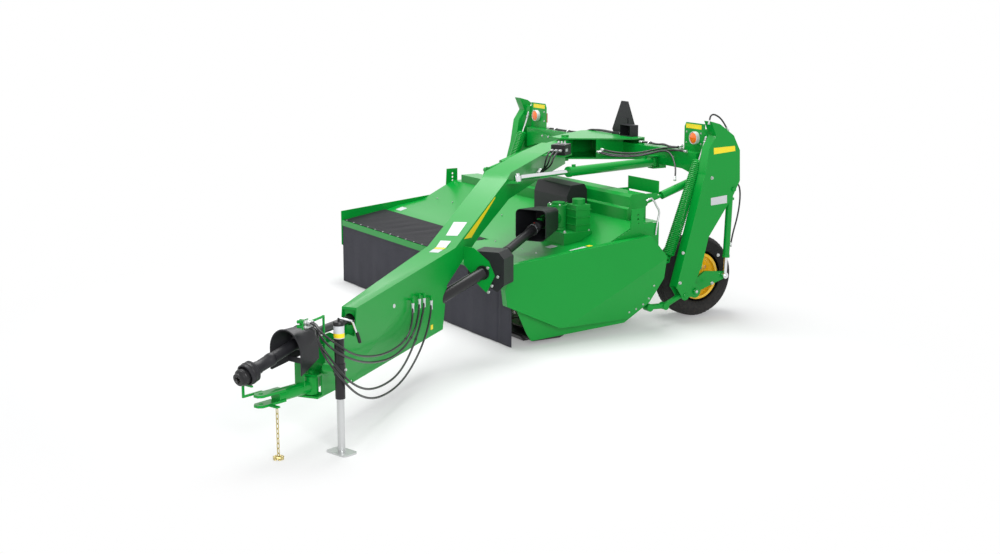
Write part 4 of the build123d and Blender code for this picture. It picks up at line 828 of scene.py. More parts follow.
def curtain_surface(x0, x1, seed):
    """A hanging cloth: y = sum of slow sines in x, wider towards the foot, plus a fold near an end."""
    x = np.linspace(x0, x1, int((x1 - x0) / CURTAIN_STEP))[None, :]
    z = np.linspace(CURTAIN_FOOT, CURTAIN_TOP, CURTAIN_ROWS)[:, None]
    down = (CURTAIN_TOP - z) / 600.0
    wave = sum(share * np.sin(x / length + turn * seed * SEED_PHASE + drift * down)
               for length, turn, drift, share in CURTAIN_WAVES)
    fold_x = x1 - FOLD_INSET - FOLD_SLANT * down
    fold = FOLD_DEPTH * np.exp(-((x - fold_x) / FOLD_HALF) ** 2) if seed == 1 else 0
    y = CURTAIN_Y + (TOP_SWING + FOOT_SWING * down ** 0.8) * wave + fold
    return on_machine(np.stack(np.broadcast_arrays(x, y, z), -1))


def surface_area(middle):
    """Area of a grid surface in square metres, from the cross product of each cell's diagonals."""
    a = middle[1:, 1:] - middle[:-1, :-1]
    b = middle[1:, :-1] - middle[:-1, 1:]
    return float(np.linalg.norm(np.cross(a, b), axis=-1).sum() / 2)


for side_name, x0, x1, seed, body, holder in CURTAINS:
    hanging = curtain_surface(x0, x1, seed)
    piece = sheet_piece(f"curtain_{side_name}", hanging, CURTAIN, f"front_curtain_{side_name}", body)
    width = surface_area(hanging) / CURTAIN_HEIGHT
    x = np.linspace(x0 + 6, x1 - 6, 300)
    columns = np.linspace(x0, x1, hanging.shape[1])
    seams = []
    for number in SEAM_ROWS:
        row = np.stack([np.interp(x, columns, hanging[number, :, c]) for c in range(3)], -1)
        seams.append(tube_along(row - [0, 0.0026, 0], SEAM_R, 6))
    dressed(piece_from(f"curtain_seams_{side_name}", seams), body, MOULDED)
    print("curtain", side_name, round(width, 3), "by", CURTAIN_HEIGHT, "m")

# %% [markdown]
# The roof of the right front shield is the same coated cloth, pulled from the hinge tube to the
# rail. Pulled cloth wrinkles between its edges, so the waves die out where it is held.

# %% Roof cloth of the right front shield
COVER_LINE = np.array([[-1712, 743.8], [-1900, 718.2], [-2090, 687.2], [-2180, 672.2],
                       [-2207, 671.6]])
COVER_FROM, COVER_TO = -1703, 436
COVER_LIFT = 0.2
# Sideways wander of the creases in mm, and the depths of the creases and of the fine wrinkles
WANDER, SLANT = 60, 160
CREASE_DEPTH, WRINKLE_DEPTH = 3.6, 1.5


def cover_surface():
    """The cloth across the shield: its line in y and z, and wrinkles that die at both edges."""
    x = np.linspace(COVER_FROM, COVER_TO, 250)[None, :]
    share = np.linspace(0, 1, 46)[:, None]
    step = np.concatenate([[0], np.cumsum(np.hypot(*np.diff(COVER_LINE, axis=0).T))])
    y = np.interp(share * step[-1], step, COVER_LINE[:, 0])
    z = np.interp(share * step[-1], step, COVER_LINE[:, 1])
    free = np.sin(np.pi * np.clip(share * 1.08, 0, 1)) ** 0.8
    wander = WANDER * np.sin(x / 260 + 4 * share) + SLANT * share
    crease = np.abs(np.sin((x + wander) / 118)) ** 0.7 - 0.45 + 0.4 * np.sin((x - 2 * wander) / 71)
    slack = CREASE_DEPTH * free * crease + WRINKLE_DEPTH * free * np.sin(x / 39 + 9 * share)
    return on_machine(np.stack(np.broadcast_arrays(x, y, z + COVER_LIFT + slack), -1))


roof = cover_surface()
roof_piece = sheet_piece("roof_cloth", roof, COVER, "fabric_cover", "front_shield")
rail_bolts = [[x, -2201.0, 672.6] for x in range(-1640, 430, 170)]
nuts_at("cover_bolts", rail_bolts, [0, 0, 1], 13, 5.5, on_machine, "front_shield")
print("roof cloth", round(surface_area(roof), 3), "m2")

# %% [markdown]
# Guards of a driveline are moulded bells and ribbed tubes, turned round one axis. The front one lies
# parked in its cradle with the shield over its joint, the collar and the splined yoke that goes on
# the tractor. Its profile is given in shares of its span, so that it fits between its two ends.

# %% Front driveline
PTO_Z = 765.0
PTO_FROM, PTO_TO = np.array([0.0, -22, PTO_Z]), np.array([0.0, -660, 585])
PTO_SPAN = float(np.linalg.norm(PTO_TO - PTO_FROM))


def on_pto(part):
    """A part drawn in millimetres along Z from the front joint, laid on the driveline's axis."""
    return on_hitch(stood(part, PTO_FROM, PTO_TO - PTO_FROM))


def shares(profile):
    """A (radius, share of the span) profile with its heights in millimetres."""
    return [(r, PTO_SPAN * share) for r, share in profile]


def ribbed(start, end, low, high, pitch):
    """A profile of square ribs between two radii."""
    z = np.arange(start, end, pitch)
    r = np.tile([low, high, high, low], len(z))
    h = z[:, None] + np.array([0, pitch * 0.2, pitch * 0.55, pitch * 0.75])
    return np.stack([r, h.ravel()], -1).tolist()


bell = [(30, 2), (33, 20)] + ribbed(52, 125, 42, 48.5, 15) + [(40, 130), (38, 150)]
tubes = [(38, 0.5), (44, 0.515), (46, 0.53), (46, 0.57), (43, 0.58), (42, 0.7), (45.5, 0.72),
         (46, 0.78), (46, 0.79)]
cup = [(70, 0.785), (76, 0.795), (76, 0.81), (73, 0.815), (73, 0.83), (76, 0.835), (76, 0.893),
       (72, 0.9), (66, 0.9), (64, 0.86)]
yoke = [(50, 0.86), (56, 0.88), (58, 0.9), (58, 0.955), (53, 0.965), (50, 0.972), (44, 0.978),
        (44, 0.998), (41, 1), (26, 1), (24, 0.995), (19, 0.95), (19, 0.9)]
collars = [[(77, 0.84), (78, 0.843), (78, 0.857), (77, 0.86), (75, 0.86), (75, 0.84)],
           [(58.4, 0.925), (60.5, 0.93), (60.5, 0.94), (58.4, 0.945)]]
key_ends = [[[19.5, -3, z], [22.5, -3, z], [22.5, 3, z], [19.5, 3, z]]
            for z in (PTO_SPAN * 0.91, PTO_SPAN * 0.995)]
keys = [turned(key_ends, a) for a in SIXTHS]
placed("pto_guard", [capped(bell + shares(tubes + cup), 56)], on_pto, "hitch", MOULDED, "pto_shaft",
       smooth=30)
placed("pto_yoke", [capped(shares(yoke), 48)], on_pto, "hitch", BLACK, "pto_shaft", smooth=30)
placed("pto_bands", [lathe(shares(c), 48) for c in collars], on_pto, "hitch", BLACK, caps=False)
placed("pto_splines", keys, on_pto, "hitch", STEEL)
print("front driveline", round(PTO_SPAN), "mm")

# %% [markdown]
# A flared bell covers the front driveline's joint, and the hood over it ends in a rolled lip. The
# lip is a thin tube along the hood's arch, because a rolled edge catches the light as a round bar.

# %% Joint bell and hood lip
LIP_R, LIP_Y, LIP_WIRE = 150.0, -232.0, 4.6
ARCH_Z, LIP_FOOT_Z = PTO_Z - 70, PTO_Z - 217
cone_bell = lathe([(62, -10), (70, -10.5), (78, -14), (84, -40), (88, -70), (90, -100), (86, -100),
                   (83, -70), (75, -18), (62, -13)], 48)
placed("joint_bell", [stood(cone_bell, [0, 0, PTO_Z], [0, 1, 0])], on_hitch, "hitch", MOULDED,
       caps=False)
arch_a = np.linspace(0, math.pi, 40)
arch = np.stack([LIP_R * np.cos(arch_a), np.full(40, LIP_Y), LIP_R * np.sin(arch_a) + ARCH_Z], -1)
lip = np.concatenate([[[LIP_R, LIP_Y, LIP_FOOT_Z]], arch, [[-LIP_R, LIP_Y, LIP_FOOT_Z]]])
placed("hood_lip", [tube_along(lip, LIP_WIRE, 8)], on_hitch, "hitch", MOULDED)
print("lip points", len(lip))

# %% [markdown]
# The rear driveline runs down from the gearbox. Its guard has a white ring, a ribbed boot, two dark
# collars and a red button, all turned round the shaft's own axis.

# %% Rear driveline
def on_guard(part):
    """A part drawn along Z from the gearbox, laid along the rear driveline."""
    return on_shaft(stood(part, [0, 0, 0], [0, -1, 0]))


white_ring = [(40.4, 172), (50, 172), (52, 175), (52, 195), (50, 198), (40.4, 198)]
boot = [(40.2, 74), (46, 76), (46, 96)] + ribbed(100, 160, 44, 49, 12) + [(42, 164), (40.4, 170)]
collar_rings = [[(40.3, z), (43, z), (43, z + 16), (40.3, z + 16)] for z in (250.0, 715.0)]
red_button = stood(lathe([(CORE, 0), (9, 0), (8, 4), (CORE, 5)], 16), [0, -134, 47], [0, 0, 1])
placed("shaft_white_ring", [lathe(white_ring, 48)], on_guard, "gearbox_head", PALE, caps=False)
placed("shaft_boot", [lathe(boot, 40)], on_guard, "gearbox_head", MOULDED, caps=False)
placed("shaft_collars", [lathe(c, 40) for c in collar_rings], on_guard, "gearbox_head", BLACK,
       caps=False)
placed("shaft_red_button", [red_button], on_shaft, "gearbox_head", RED)
print("slope of the rear driveline", round(math.degrees(SLOPE), 1))

# %% [markdown]
# The safety chain hangs from its hook and ends in a small heap. One link is a round bar bent to a
# racetrack, and the same link is stood at every place, each quarter-turned from the last.

# %% Chain
CHAIN_SPOT = np.array([104.0, -418.0, 0.0])
CHAIN_TOP = 360.7
HEAP_TOP = 50.0
LINK_HALF, LINK_REACH, LINK_WIRE = 8.6, 11.8, 3.25
HEAP_R, HEAP_STEP = 24.7, 7.3


def link_ring(half, reach, wire, around=8):
    """A closed bar along a racetrack: two straight runs and two half circles in the XZ plane."""
    a = np.linspace(0, math.pi, 9)
    top = np.stack([half * np.cos(a), 0 * a, reach + half * np.sin(a)], -1)
    line = np.concatenate([top, top * [-1, 1, -1]])
    way = np.roll(line, -1, 0) - np.roll(line, 1, 0)
    way /= np.linalg.norm(way, axis=1, keepdims=True)
    out = np.cross(way, [0, 1, 0])
    b = np.linspace(0, 2 * math.pi, around, endpoint=False)[:, None]
    round_bar = np.cos(b) * out[:, None] + np.sin(b) * np.array([0.0, 1.0, 0.0])
    return line[:, None] + wire * round_bar


one_link = link_ring(LINK_HALF, LINK_REACH, LINK_WIRE)
step_down = (CHAIN_TOP - HEAP_TOP) / 9
strand = [turned(one_link, math.radians(90 * (n % 2))) + [0, 0, CHAIN_TOP - 24 - step_down * n]
          for n in range(10)]
lying = turned(one_link[..., [2, 0, 1]], math.radians(90))
heap = [turned(lying + [HEAP_R, 0, 4.5 + HEAP_STEP * (n // 3)],
               math.radians(120 * (n % 3) + 40 * (n // 3))) for n in range(9)]
placed("chain_links", [part + CHAIN_SPOT for part in strand + heap], on_hitch, "hitch", CHAIN,
       "safety_chain", slot="chain_zinc", caps=False, loop=True)
print("links", len(strand) + len(heap))

# %% [markdown]
# Each hose starts in a pale crimped sleeve under its elbow and ends in a coupler pushed into the
# holder's plate. The couplers and sleeves belong to their hoses, so they are made with them.

# %% Hose ends
crimp = [(8.1, 0), (12.2, 1), (12.2, 16), (10.6, 19), (10.6, 66), (11.4, 69), (11.4, 74), (8.1, 75)]
grip_nut = [(8.1, 1), (14.5, 1), (14.5, 16), (12.5, 18), (12.5, 24), (8.1, 24)]
nipple = [(8.1, 24), (11.2, 25), (11.2, 48), (10.4, 52), (8.1, 53)]
for name, route in HOSE_ROUTES.items():
    piece = hoses[name]
    piece.data.materials.append(HOSE)
    first, last = np.array([route[0], route[-1]]) * [1, -1, 1]
    sleeve = placed(f"{name}_sleeve", [stood(lathe(crimp, 24), first - [0, 0, 1], [0, 0, -1])],
                    on_tongue, "tongue", PALE, caps=False)
    ends = [stood(lathe(grip_nut, 6), last, [1, 0, 0]), stood(lathe(nipple, 24), last, [1, 0, 0])]
    coupler = placed(f"{name}_coupler", ends, on_tongue, "tongue", ZINC, caps=False)
    line_length(piece)
print("hoses with ends", len(hoses))

# %% [markdown]
# Small fastenings show how plates are held: hex nuts with washers and turned caps on the pins. They
# stand on the legs' outer faces and on the plates behind the lamps.

# %% Fastenings
LEG_FACE = 1740.0
LAMP_PLATE_Y = 46.0
LEG_SPOTS = [(-22, 1361), (79, 619), (-342, 679), (-369, 396), (16, 355)]
# Columns: y, z, radius, shift along x from the leg's face
LEG_CAPS = [(-182, 296, 30, 12.2), (245, 1236, 22, 6.2), (-300, 268, 24, 0.2)]
for side_name, flip in SIDES:
    spots = [[flip * LEG_FACE, y, z] for y, z in LEG_SPOTS]
    nuts_at(f"leg_nuts_{side_name}", spots, [flip, 0, 0], 22, 14, on_machine, "carrier")
    pin_caps = [stood(capped([(r, 0), (r, 7), (r - 4, 10)], 28), [flip * LEG_FACE + off, y, z],
                      [flip, 0, 0]) for y, z, r, off in LEG_CAPS]
    placed(f"leg_caps_{side_name}", pin_caps, on_machine, "carrier", GREEN)
plate_spots = [[flip * x, LAMP_PLATE_Y, z] for flip in (-1, 1) for x in (1262, 1480)
               for z in (1650, 1752)]
nuts_at("lamp_plate_nuts", plate_spots, [0, -1, 0], 13, 7, on_machine, "carrier")
print("nuts on the lamp plates", len(plate_spots))

# %% [markdown]
# Bare plates and stripes are thin films a little off the paint. Their places were read from the
# photograph, and no words are on them.

# %% Films and stripes
FILM = 0.9
LEG_STRIPE = [(-10, 1642), (244, 1648), (250, 1599), (-6, 1582)]
LEG_LABEL = [(-27, 1173), (166, 1187), (169, 1111), (-24, 1102)]
TONGUE_FACE = 125.0
# Columns: name, lift, finish, (distance from the pivot, height) pairs on the tongue's left face
TONGUE_FILMS = [
    ("tongue_label", 0.3, PALE, [(3218, 914), (3081, 932), (2942, 831), (3103, 743)]),
    ("tongue_label_film", 1.3, YELLOW_FILM, [(3176, 886), (3060, 905), (2985, 846), (3108, 770)]),
    ("tongue_dot", 0.3, YELLOW_FILM, [(3462, 398), (3420, 398), (3420, 436), (3462, 436)])]


def film(name, corners, material, body, place_on=on_machine, lift=0.3):
    """A thin film: a flat outline pushed out along its own normal, from its lift by its thickness."""
    p = np.asarray(corners, float)
    normal = np.cross(p[1] - p[0], p[2] - p[0])
    normal /= np.linalg.norm(normal)
    stack = np.stack([p + normal * lift, p + normal * (lift + FILM)])
    return placed(name, [stack], place_on, body, material)


def leg_face(spots):
    """Corners on the left leg's outer face from (y, z) pairs, so that they face outwards."""
    return [[LEG_FACE, y, z] for y, z in spots[::-1]]


film("leg_stripe_left", leg_face(LEG_STRIPE), YELLOW_FILM, "carrier")
film("leg_label_left", leg_face(LEG_LABEL), PALE, "carrier")
film("leg_stripe_right", mirrored(leg_face(LEG_STRIPE)[::-1]), YELLOW_FILM, "carrier")
for side_name, flip in SIDES:
    x0, x1 = sorted((flip * 1252, flip * 1484))
    film(f"lamp_stripe_{side_name}", [[x, LAMP_PLATE_Y, z] for x, z in
                                      ((x0, 1788), (x1, 1788), (x1, 1830), (x0, 1830))],
         YELLOW_FILM, "carrier")
for name, lift, finish, spots in TONGUE_FILMS:
    film(name, [[TONGUE_FACE, -reach, z] for reach, z in spots], finish, "tongue", on_tongue, lift)
plug = lathe([(CORE, 0), (17, 0), (17, 3), (12, 8), (CORE, 9)], 28)
placed("tongue_plug", [stood(plug, [TONGUE_FACE + 0.2, -4110, 730], [1, 0, 0])], on_tongue, "tongue",
       PALE)
print("films on the tongue", len(TONGUE_FILMS))

# %% [markdown]
# A round lamp is a pale ring round a domed lens, both turned on one axis. A rear lamp is a square
# block that narrows in three levels, and the slow-vehicle plate carries an orange triangle that
# faces the road behind.

# %% Lamps and plate
LAMP_X, REAR_LAMP_X, EMBLEM_X = 1404.0, 1300.0, 95.0
ring_profile = [(57, 0), (61, 2), (61, 30), (59, 38), (55, 40), (53.6, 37), (53.6, 30), (57, 6)]
lens_profile = [(CORE, 2), (52, 2), (53.2, 30), (54, 31), (53, 33), (46, 39), (34, 43.5), (18, 46),
                (CORE, 46.5)]
# Columns: size as a share of the lamp's outline, place along y
REAR_LAMP_LEVELS = [(1, 54.4), (1, 82), (0.97, 87), (0.9, 89.5)]
for side_name, flip in SIDES:
    seat = [flip * LAMP_X, LAMP_PLATE_Y - 0.4, 1704]
    placed(f"lamp_ring_{side_name}", [stood(lathe(ring_profile, 48), seat, [0, -1, 0])], on_machine,
           "carrier", PALE, caps=False)
    placed(f"lamp_lens_{side_name}", [stood(lathe(lens_profile, 48), seat, [0, -1, 0])], on_machine,
           "carrier", AMBER, "lamps")
    outline = np.array([[-42, 0, -51], [42, 0, -51], [42, 0, 51], [-42, 0, 51]], float)
    rear = np.stack([outline * share + [flip * REAR_LAMP_X, y, 1685]
                     for share, y in REAR_LAMP_LEVELS])
    placed(f"rear_lamp_{side_name}", [rear], on_machine, "carrier", RED, "lamps", smooth=20)
film("emblem_triangle", [[EMBLEM_X + x, 157.2, z] for x, z in
                         ((-178, 1612), (-40, 1930), (40, 1930), (178, 1612))], ORANGE, "carrier")

# %% [markdown]
# Black pressure hoses run along the crossbeam: three sag in front of it and four lie on its top. One
# turns down to the tilt cylinder, one makes a loop over the left leg and one comes down behind it to
# the lift cylinder. Their places were chosen from the photograph where they show.

# %% Routes on the crossbeam
# Columns: name, lay, radius in mm, control points on the machine in mm
BEAM_HOSES = [
    ("beam_hose_1", "hanging", 9, [
        (560, -470, 1520), (640, -475, 1514), (760, -430, 1502), (830, -300, 1496),
        (872, -215, 1503), (925, -130, 1524), (1005, -74, 1550), (1120, -56, 1566),
        (1250, -52, 1577), (1380, -50, 1577)]),
    ("beam_hose_2", "hanging", 9, [
        (560, -448, 1540), (640, -450, 1535), (752, -408, 1524), (822, -290, 1518),
        (868, -200, 1526), (925, -112, 1548), (1010, -58, 1572), (1120, -42, 1588),
        (1210, -38, 1600), (1220, 20, 1612)]),
    ("beam_hose_3", "hanging", 8, [
        (560, -496, 1518), (640, -502, 1510), (750, -466, 1494), (836, -336, 1489),
        (888, -232, 1497), (950, -146, 1520), (1040, -96, 1550), (1130, -82, 1560),
        (1215, -92, 1530), (1330, -140, 1462), (1420, -200, 1400), (1452, -232, 1332)]),
    ("top_hose_1", "taut", 9, [
        (-1140, 20, 1586), (-900, 24, 1583), (-640, 30, 1586), (-470, 44, 1600),
        (-380, 60, 1636), (-200, 60, 1640), (-10, 60, 1636), (150, 60, 1636)]),
    ("top_hose_2", "taut", 8, [
        (-1140, 42, 1585), (-880, 52, 1582), (-600, 54, 1586), (-470, 66, 1602),
        (-360, 84, 1636), (-160, 80, 1644), (0, 84, 1636), (150, 84, 1636)]),
    ("top_hose_3", "taut", 9, [
        (560, 20, 1590), (640, 26, 1594), (800, 22, 1588), (900, 34, 1596), (1040, 26, 1586),
        (1110, 40, 1592), (1200, 30, 1584)]),
    ("top_hose_4", "taut", 8, [
        (560, 44, 1588), (660, 48, 1597), (790, 52, 1584), (890, 60, 1600), (1000, 50, 1582),
        (1100, 64, 1590), (1200, 60, 1583)]),
    ("leg_loop_hose", "hanging", 8, [
        (1700, -41, 1872), (1700, -34, 1925), (1700, -12, 1949), (1706, 22, 1949),
        (1714, 78, 1917), (1716, 128, 1862), (1712, 172, 1800)]),
    ("lift_hose", "hanging", 8, [
        (1716, 262, 1300), (1714, 318, 1290), (1712, 352, 1216), (1712, 350, 1080),
        (1708, 322, 930), (1704, 280, 800), (1702, 262, 690)]),
]
print("crossbeam hoses", len(BEAM_HOSES))

# %% [markdown]
# Each of these hoses has a crimped fitting at both ends.

# %% Hoses on the crossbeam
def fitting(spot, way, radius, hexagon=True):
    """A crimped sleeve over a hose end, and a hex nut behind it where one is asked for."""
    r = radius + 0.15
    out = [lathe([(r, -2), (r + 2.6, -1), (r + 2.6, 26), (r + 1.2, 29), (r, 30)], 20)]
    if hexagon:
        out.append(capped([(r + 5, -14), (r + 6, -12.5), (r + 6, -3.5), (r + 5, -2)], 6))
    return [stood(part, spot, way) for part in out]


def pressure_hose(name, route, radius, place_on, body, far_hexagon=True):
    """A black hose along a route with a fitting on each end."""
    p = np.asarray(route, float)
    piece = smooth_line(name, place_on(p), radius)
    piece.data.materials.append(HOSE)
    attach(piece, body)
    both = fitting(p[0], p[1] - p[0], radius) + fitting(p[-1], p[-2] - p[-1], radius, far_hexagon)
    ends = placed(f"{name}_ends", both, place_on, body, ZINC, caps=False)
    length = line_length(piece)
    tuple(place_on(p)[0])
    print(name, "length", round(length, 3))


for name, lay, radius, route in BEAM_HOSES:
    pressure_hose(name, route, radius, on_machine, "carrier")

# %% [markdown]
# Wire clips hold the hoses down on the crossbeam. Each clip is five thin half rings side by side,
# which look like one ribbed strap.

# %% Hose clips
CLIPS = [(-1000, 33, 1584), (-760, 38, 1583), (700, 34, 1593), (1150, 44, 1590)]
clip_a = np.linspace(0, math.pi, 14)
straps = []
for x, y, z in CLIPS:
    half_ring = np.stack([np.full(14, x), y + 30 * np.cos(clip_a), z - 13 + 26 * np.sin(clip_a)], -1)
    straps += [tube_along(half_ring + [shift, 0, 0], 1.6, 6) for shift in (-5, -2.5, 0, 2.5, 5)]
placed("beam_hose_clips", straps, on_machine, "carrier", ZINC)
print("clips", len(CLIPS))

# %% [markdown]
# The valve block on the tongue has three hex ports at each end and three turned caps on top. Short
# hoses leave its front ports and dip down to the tongue's side.

# %% Valve ports and hoses
PORT_OFF, PORT_STEP = 235.0, 40.0
VALVE_TOP = 1650.2
port = capped([(13, 0), (14, 1.5), (14, 12), (13, 13.5), (9, 14), (9, 26)], 6)
valve_cap = capped([(15, 0), (15, 6), (10, 8), (10, 20), (7, 24)], 20)
ports = [stood(port, [PORT_OFF + PORT_STEP * n, y, 1600], [0, way, 0])
         for n in range(3) for y, way in ((-972, -1), (-772, 1))]
ports += [stood(valve_cap, [240 + 36 * n, -830 - 12 * n, VALVE_TOP], [0, 0, 1]) for n in range(3)]
placed("valve_ports", ports, on_tongue, "tongue", ZINC)
film("valve_label", [[345.2, y, z] for y, z in
                     ((-925, 1585), (-865, 1585), (-865, 1612), (-925, 1612))], PALE, "tongue",
     on_tongue)
for n, reach in enumerate((70, 96, 120)):
    off, drop = PORT_OFF + PORT_STEP * n, 10 * n
    route = [(off, -998, 1600), (off, -1030 - reach * 0.3, 1600),
             (off - 8, -1030 - reach, 1565 - 6 * n), (off - 26, -1034 - reach, 1500 - 8 * n),
             (190 + 8 * n, -1010 - reach, 1440 - drop), (166, -1000 - reach, 1424 - drop),
             (134, -1000 - reach, 1424 - drop)]
    pressure_hose(f"valve_hose_{n + 1}", route, 8, on_tongue, "tongue", False)

# %% [markdown]
# The jack's crank is a bent bright rod with a black grip. The tube below it wears a pale band with a
# yellow stripe and a black cap, and the two ends of its pin stand out at the sides.

# %% Jack
JACK_SPOT = np.array([385.0, -5440.0, 0.0])
CRANK_R = 7.8
CRANK = JACK_SPOT + [[0, 0, 942], [20, 17, 936], [48, 41, 925], [66, 57, 917], [73, 63, 905],
                     [78, 68, 884], [88, 78, 840], [98.5, 88.5, 792]]
# Columns: name, finish, (radius, height) profile round the jack's axis, points round it
JACK_RINGS = [
    ("jack_band", PALE, [(36.2, 806), (37, 808), (37, 892), (36.2, 894)], 40),
    ("jack_band_stripe", YELLOW_FILM, [(37.1, 812), (37.4, 812), (37.4, 842), (37.1, 842)], 40),
    ("jack_cap", BLACK, [(37.2, 893), (41, 896), (41, 916), (38, 921), (CORE, 925)], 36)]
grip = lathe([(7.9, 0), (11, 2), (12, 14), (12, 74), (10, 80), (7.9, 81)], 20)
placed("jack_crank", [tube_along(CRANK, CRANK_R, 14)], on_tongue, "tongue", CHROME)
placed("jack_grip", [stood(grip, CRANK[-1] + [-7, -7, 46], [10, 10, -50])], on_tongue, "tongue",
       BLACK, caps=False)
for name, finish, profile, around in JACK_RINGS:
    placed(name, [stood(lathe(profile, around), JACK_SPOT, [0, 0, 1])], on_tongue, "tongue", finish,
           caps=False)
pin_end = capped([(9, 40.3), (9, 50), (8, 52)], 16)
pins = [stood(pin_end, JACK_SPOT + [0, 0, 590], [way, 0, 0]) for way in (-1, 1)]
placed("jack_pin", pins, on_tongue, "tongue", ZINC)
print("points on the crank", len(CRANK))

# %% [markdown]
# A zinc strap is bent round the header's post, four nuts hold the bracket on the tongue, a cap nut
# stands on the left arm's pin, and a clamp sits on each of three hanging hoses.

# %% Strap, bracket nuts and clamps
STRAP = [(-780, 1202), (-752, 1218), (-724, 1222), (-690, 1190), (-665, 1147), (-640, 1112),
         (-632, 1080), (-644, 1030), (-652, 990), (-662, 930), (-668, 880)]
BRACKET_SPOTS = [(346, 806), (437, 736), (384, 655), (352, 600)]
strap = np.array([[LEG_FACE + 5.5, y, z] for y, z in STRAP])
placed("post_strap", [tube_along(strap, 9.0, 12)], on_machine, "carrier", ZINC)
nuts_at("bracket_nuts", [[off, -2804.5, z] for off, z in BRACKET_SPOTS], [0, -1, 0], 19, 12,
        on_tongue, "tongue")
nuts_at("wheel_arm_pins", [[LEG_FACE + 12.4, -182, 296]], [1, 0, 0], 30, 10, on_machine, "carrier")
clamp = lathe([(8.1, -9), (10.5, -9), (10.5, 9), (8.1, 9)], 20)
for name in ("hose_1", "hose_2", "hose_3"):
    before, after = np.array(HOSE_ROUTES[name][3:5]) * [1, -1, 1]
    placed(f"{name}_clamp", [stood(clamp, (before + after) / 2, after - before)], on_tongue,
           "tongue", BLACK, caps=False)
print("bracket nuts", len(BRACKET_SPOTS))

# %% [markdown]
# Plates and bolts on sloping plate-work have to lie on it exactly. A ray is sent at the solid for
# each corner or bolt, and the piece is built on the points that the rays meet.

# %% Landing pieces on solids
RAY_BACK = 0.4
PLATE_LIFT, PLATE_TOP = 0.0005, 0.0014


def landed(node_name, spots, way):
    """Where rays along a direction meet a solid: the points, and the face's normal to the ray."""
    mesh = frame["nodes"][node_name].data
    faces = [f.vertices[:] for f in mesh.polygons]
    tree = BVHTree.FromPolygons([v.co for v in mesh.vertices], faces)
    way = np.asarray(way, float)
    out = []
    for spot in spots:
        hit, normal = tree.ray_cast(tuple(spot - RAY_BACK * way), tuple(way))[:2]
        if hit:
            turn = -1 if normal.dot(tuple(way)) > 0 else 1
            out.append((np.array(hit), np.array(normal) * turn))
    return out


def landed_film(name, node_name, spots, way, material, body):
    """A blank plate on a solid's face: its corners landed by rays and lifted half a millimetre."""
    found = landed(node_name, spots, way)
    p, normal = np.array([f[0] for f in found]), found[0][1]
    stack = np.stack([p + normal * PLATE_LIFT, p + normal * PLATE_TOP])
    return dressed(piece_from(name, [stack]), body, material)


def bolt_rows(name, node_name, spots, way, size, body):
    """Hex nuts where rays along a direction meet a solid, each turned to the face it meets."""
    found = landed(node_name, on_machine(spots), way)
    stacks = [stood(part / 1000, hit, up) for hit, up in found for part in nut(size, size * 0.62)]
    print(name, len(found), "of", len(spots))
    return dressed(piece_from(name, stacks), body, ZINC)


# %% [markdown]
# The blank plates lie on the tongue's top and on the deck. The yellow stripe follows the bend of the
# tongue's left side.

# %% Plates on the tongue and the deck
# Columns: name, finish, (off, distance from the pivot) corners on the tongue's top
TOP_PLATES = [("top_plate_1", PALE, [(-62, 2585), (58, 2575), (64, 2790), (-40, 2800)]),
              ("top_plate_2", PALE, [(-52, 2880), (44, 2875), (48, 2990), (-40, 2995)]),
              ("top_plate_3", YELLOW_FILM, [(-40, 3003), (48, 2998), (50, 3040), (-36, 3045)]),
              ("top_plate_4", PALE, [(-36, 3053), (50, 3048), (52, 3150), (-30, 3155)])]
# Columns: name, finish, (x, y) corners on the deck
DECK_PLATES = [
    ("deck_plate_1", PALE, [(1560, -1500), (1640, -1490), (1640, -1330), (1560, -1340)]),
    ("deck_plate_2", YELLOW_FILM, [(1560, -1320), (1640, -1310), (1640, -1270), (1560, -1280)]),
    ("deck_plate_3", PALE, [(1250, -1560), (1340, -1560), (1340, -1480), (1250, -1480)]),
    ("deck_plate_4", PALE, [(-1600, -1640), (-1480, -1640), (-1480, -1560), (-1600, -1560)])]
# (distance from the pivot, height) corners on the tongue's left face
STRIPE = [(2795, 1036), (2640, 1024), (2489, 1104), (2120, 1292), (2120, 1306), (2500, 1152)]
DOWN = [0, 0, -1]
ABOVE_TONGUE, ABOVE_DECK = 1000, 900
for name, finish, spots in TOP_PLATES:
    places = on_tongue([[off, -reach, ABOVE_TONGUE] for off, reach in spots])
    landed_film(name, "tongue_beam", places, DOWN, finish, "tongue")
for name, finish, spots in DECK_PLATES:
    places = on_machine([[x, y, ABOVE_DECK] for x, y in spots])
    landed_film(name, "header_deck", places, DOWN, finish, "carrier")
stripe = on_tongue([[TONGUE_FACE, -reach, z] for reach, z in STRIPE])
landed_film("tongue_stripe", "tongue_beam", stripe, turned([-1.0, 0, 0], TONGUE_TURN), YELLOW_FILM,
            "tongue")
print("plates", len(TOP_PLATES) + len(DECK_PLATES))

# %% [markdown]
# The gearbox is bolted together round its head and down on its base, and two cast collars stand on
# its input. The head's six bolts are set in its own turned system.

# %% Gearbox bolts
BOLT_CIRCLE_R = 92.0
head_spots = np.stack([BOLT_CIRCLE_R * np.cos(SIXTHS), BOLT_CIRCLE_R * np.sin(SIXTHS),
                       np.full(6, 120.3)], -1)
nuts_at("gearbox_head_bolts", head_spots, [0, 0, 1], 13, 9, on_head, "gearbox_head")
collar = lathe([(66.3, 0), (74, 1), (74, 13), (66.3, 14)], 48)
placed("gearbox_collars", [stood(collar + [0, 0, z], [0, 0, 0], [0, -1, 0]) for z in (118.0, 236.0)],
       on_head, "gearbox_head", CAST, caps=False)
base_spots = [[GEARBOX[0] + dx, GEARBOX[1] + dy, 905.0] for dx in (-108, 268) for dy in (-108, 156)]
nuts_at("gearbox_base_bolts", base_spots, [0, 0, 1], 22, 15, on_machine, "carrier")
print("bolts on the gearbox", len(head_spots) + len(base_spots))

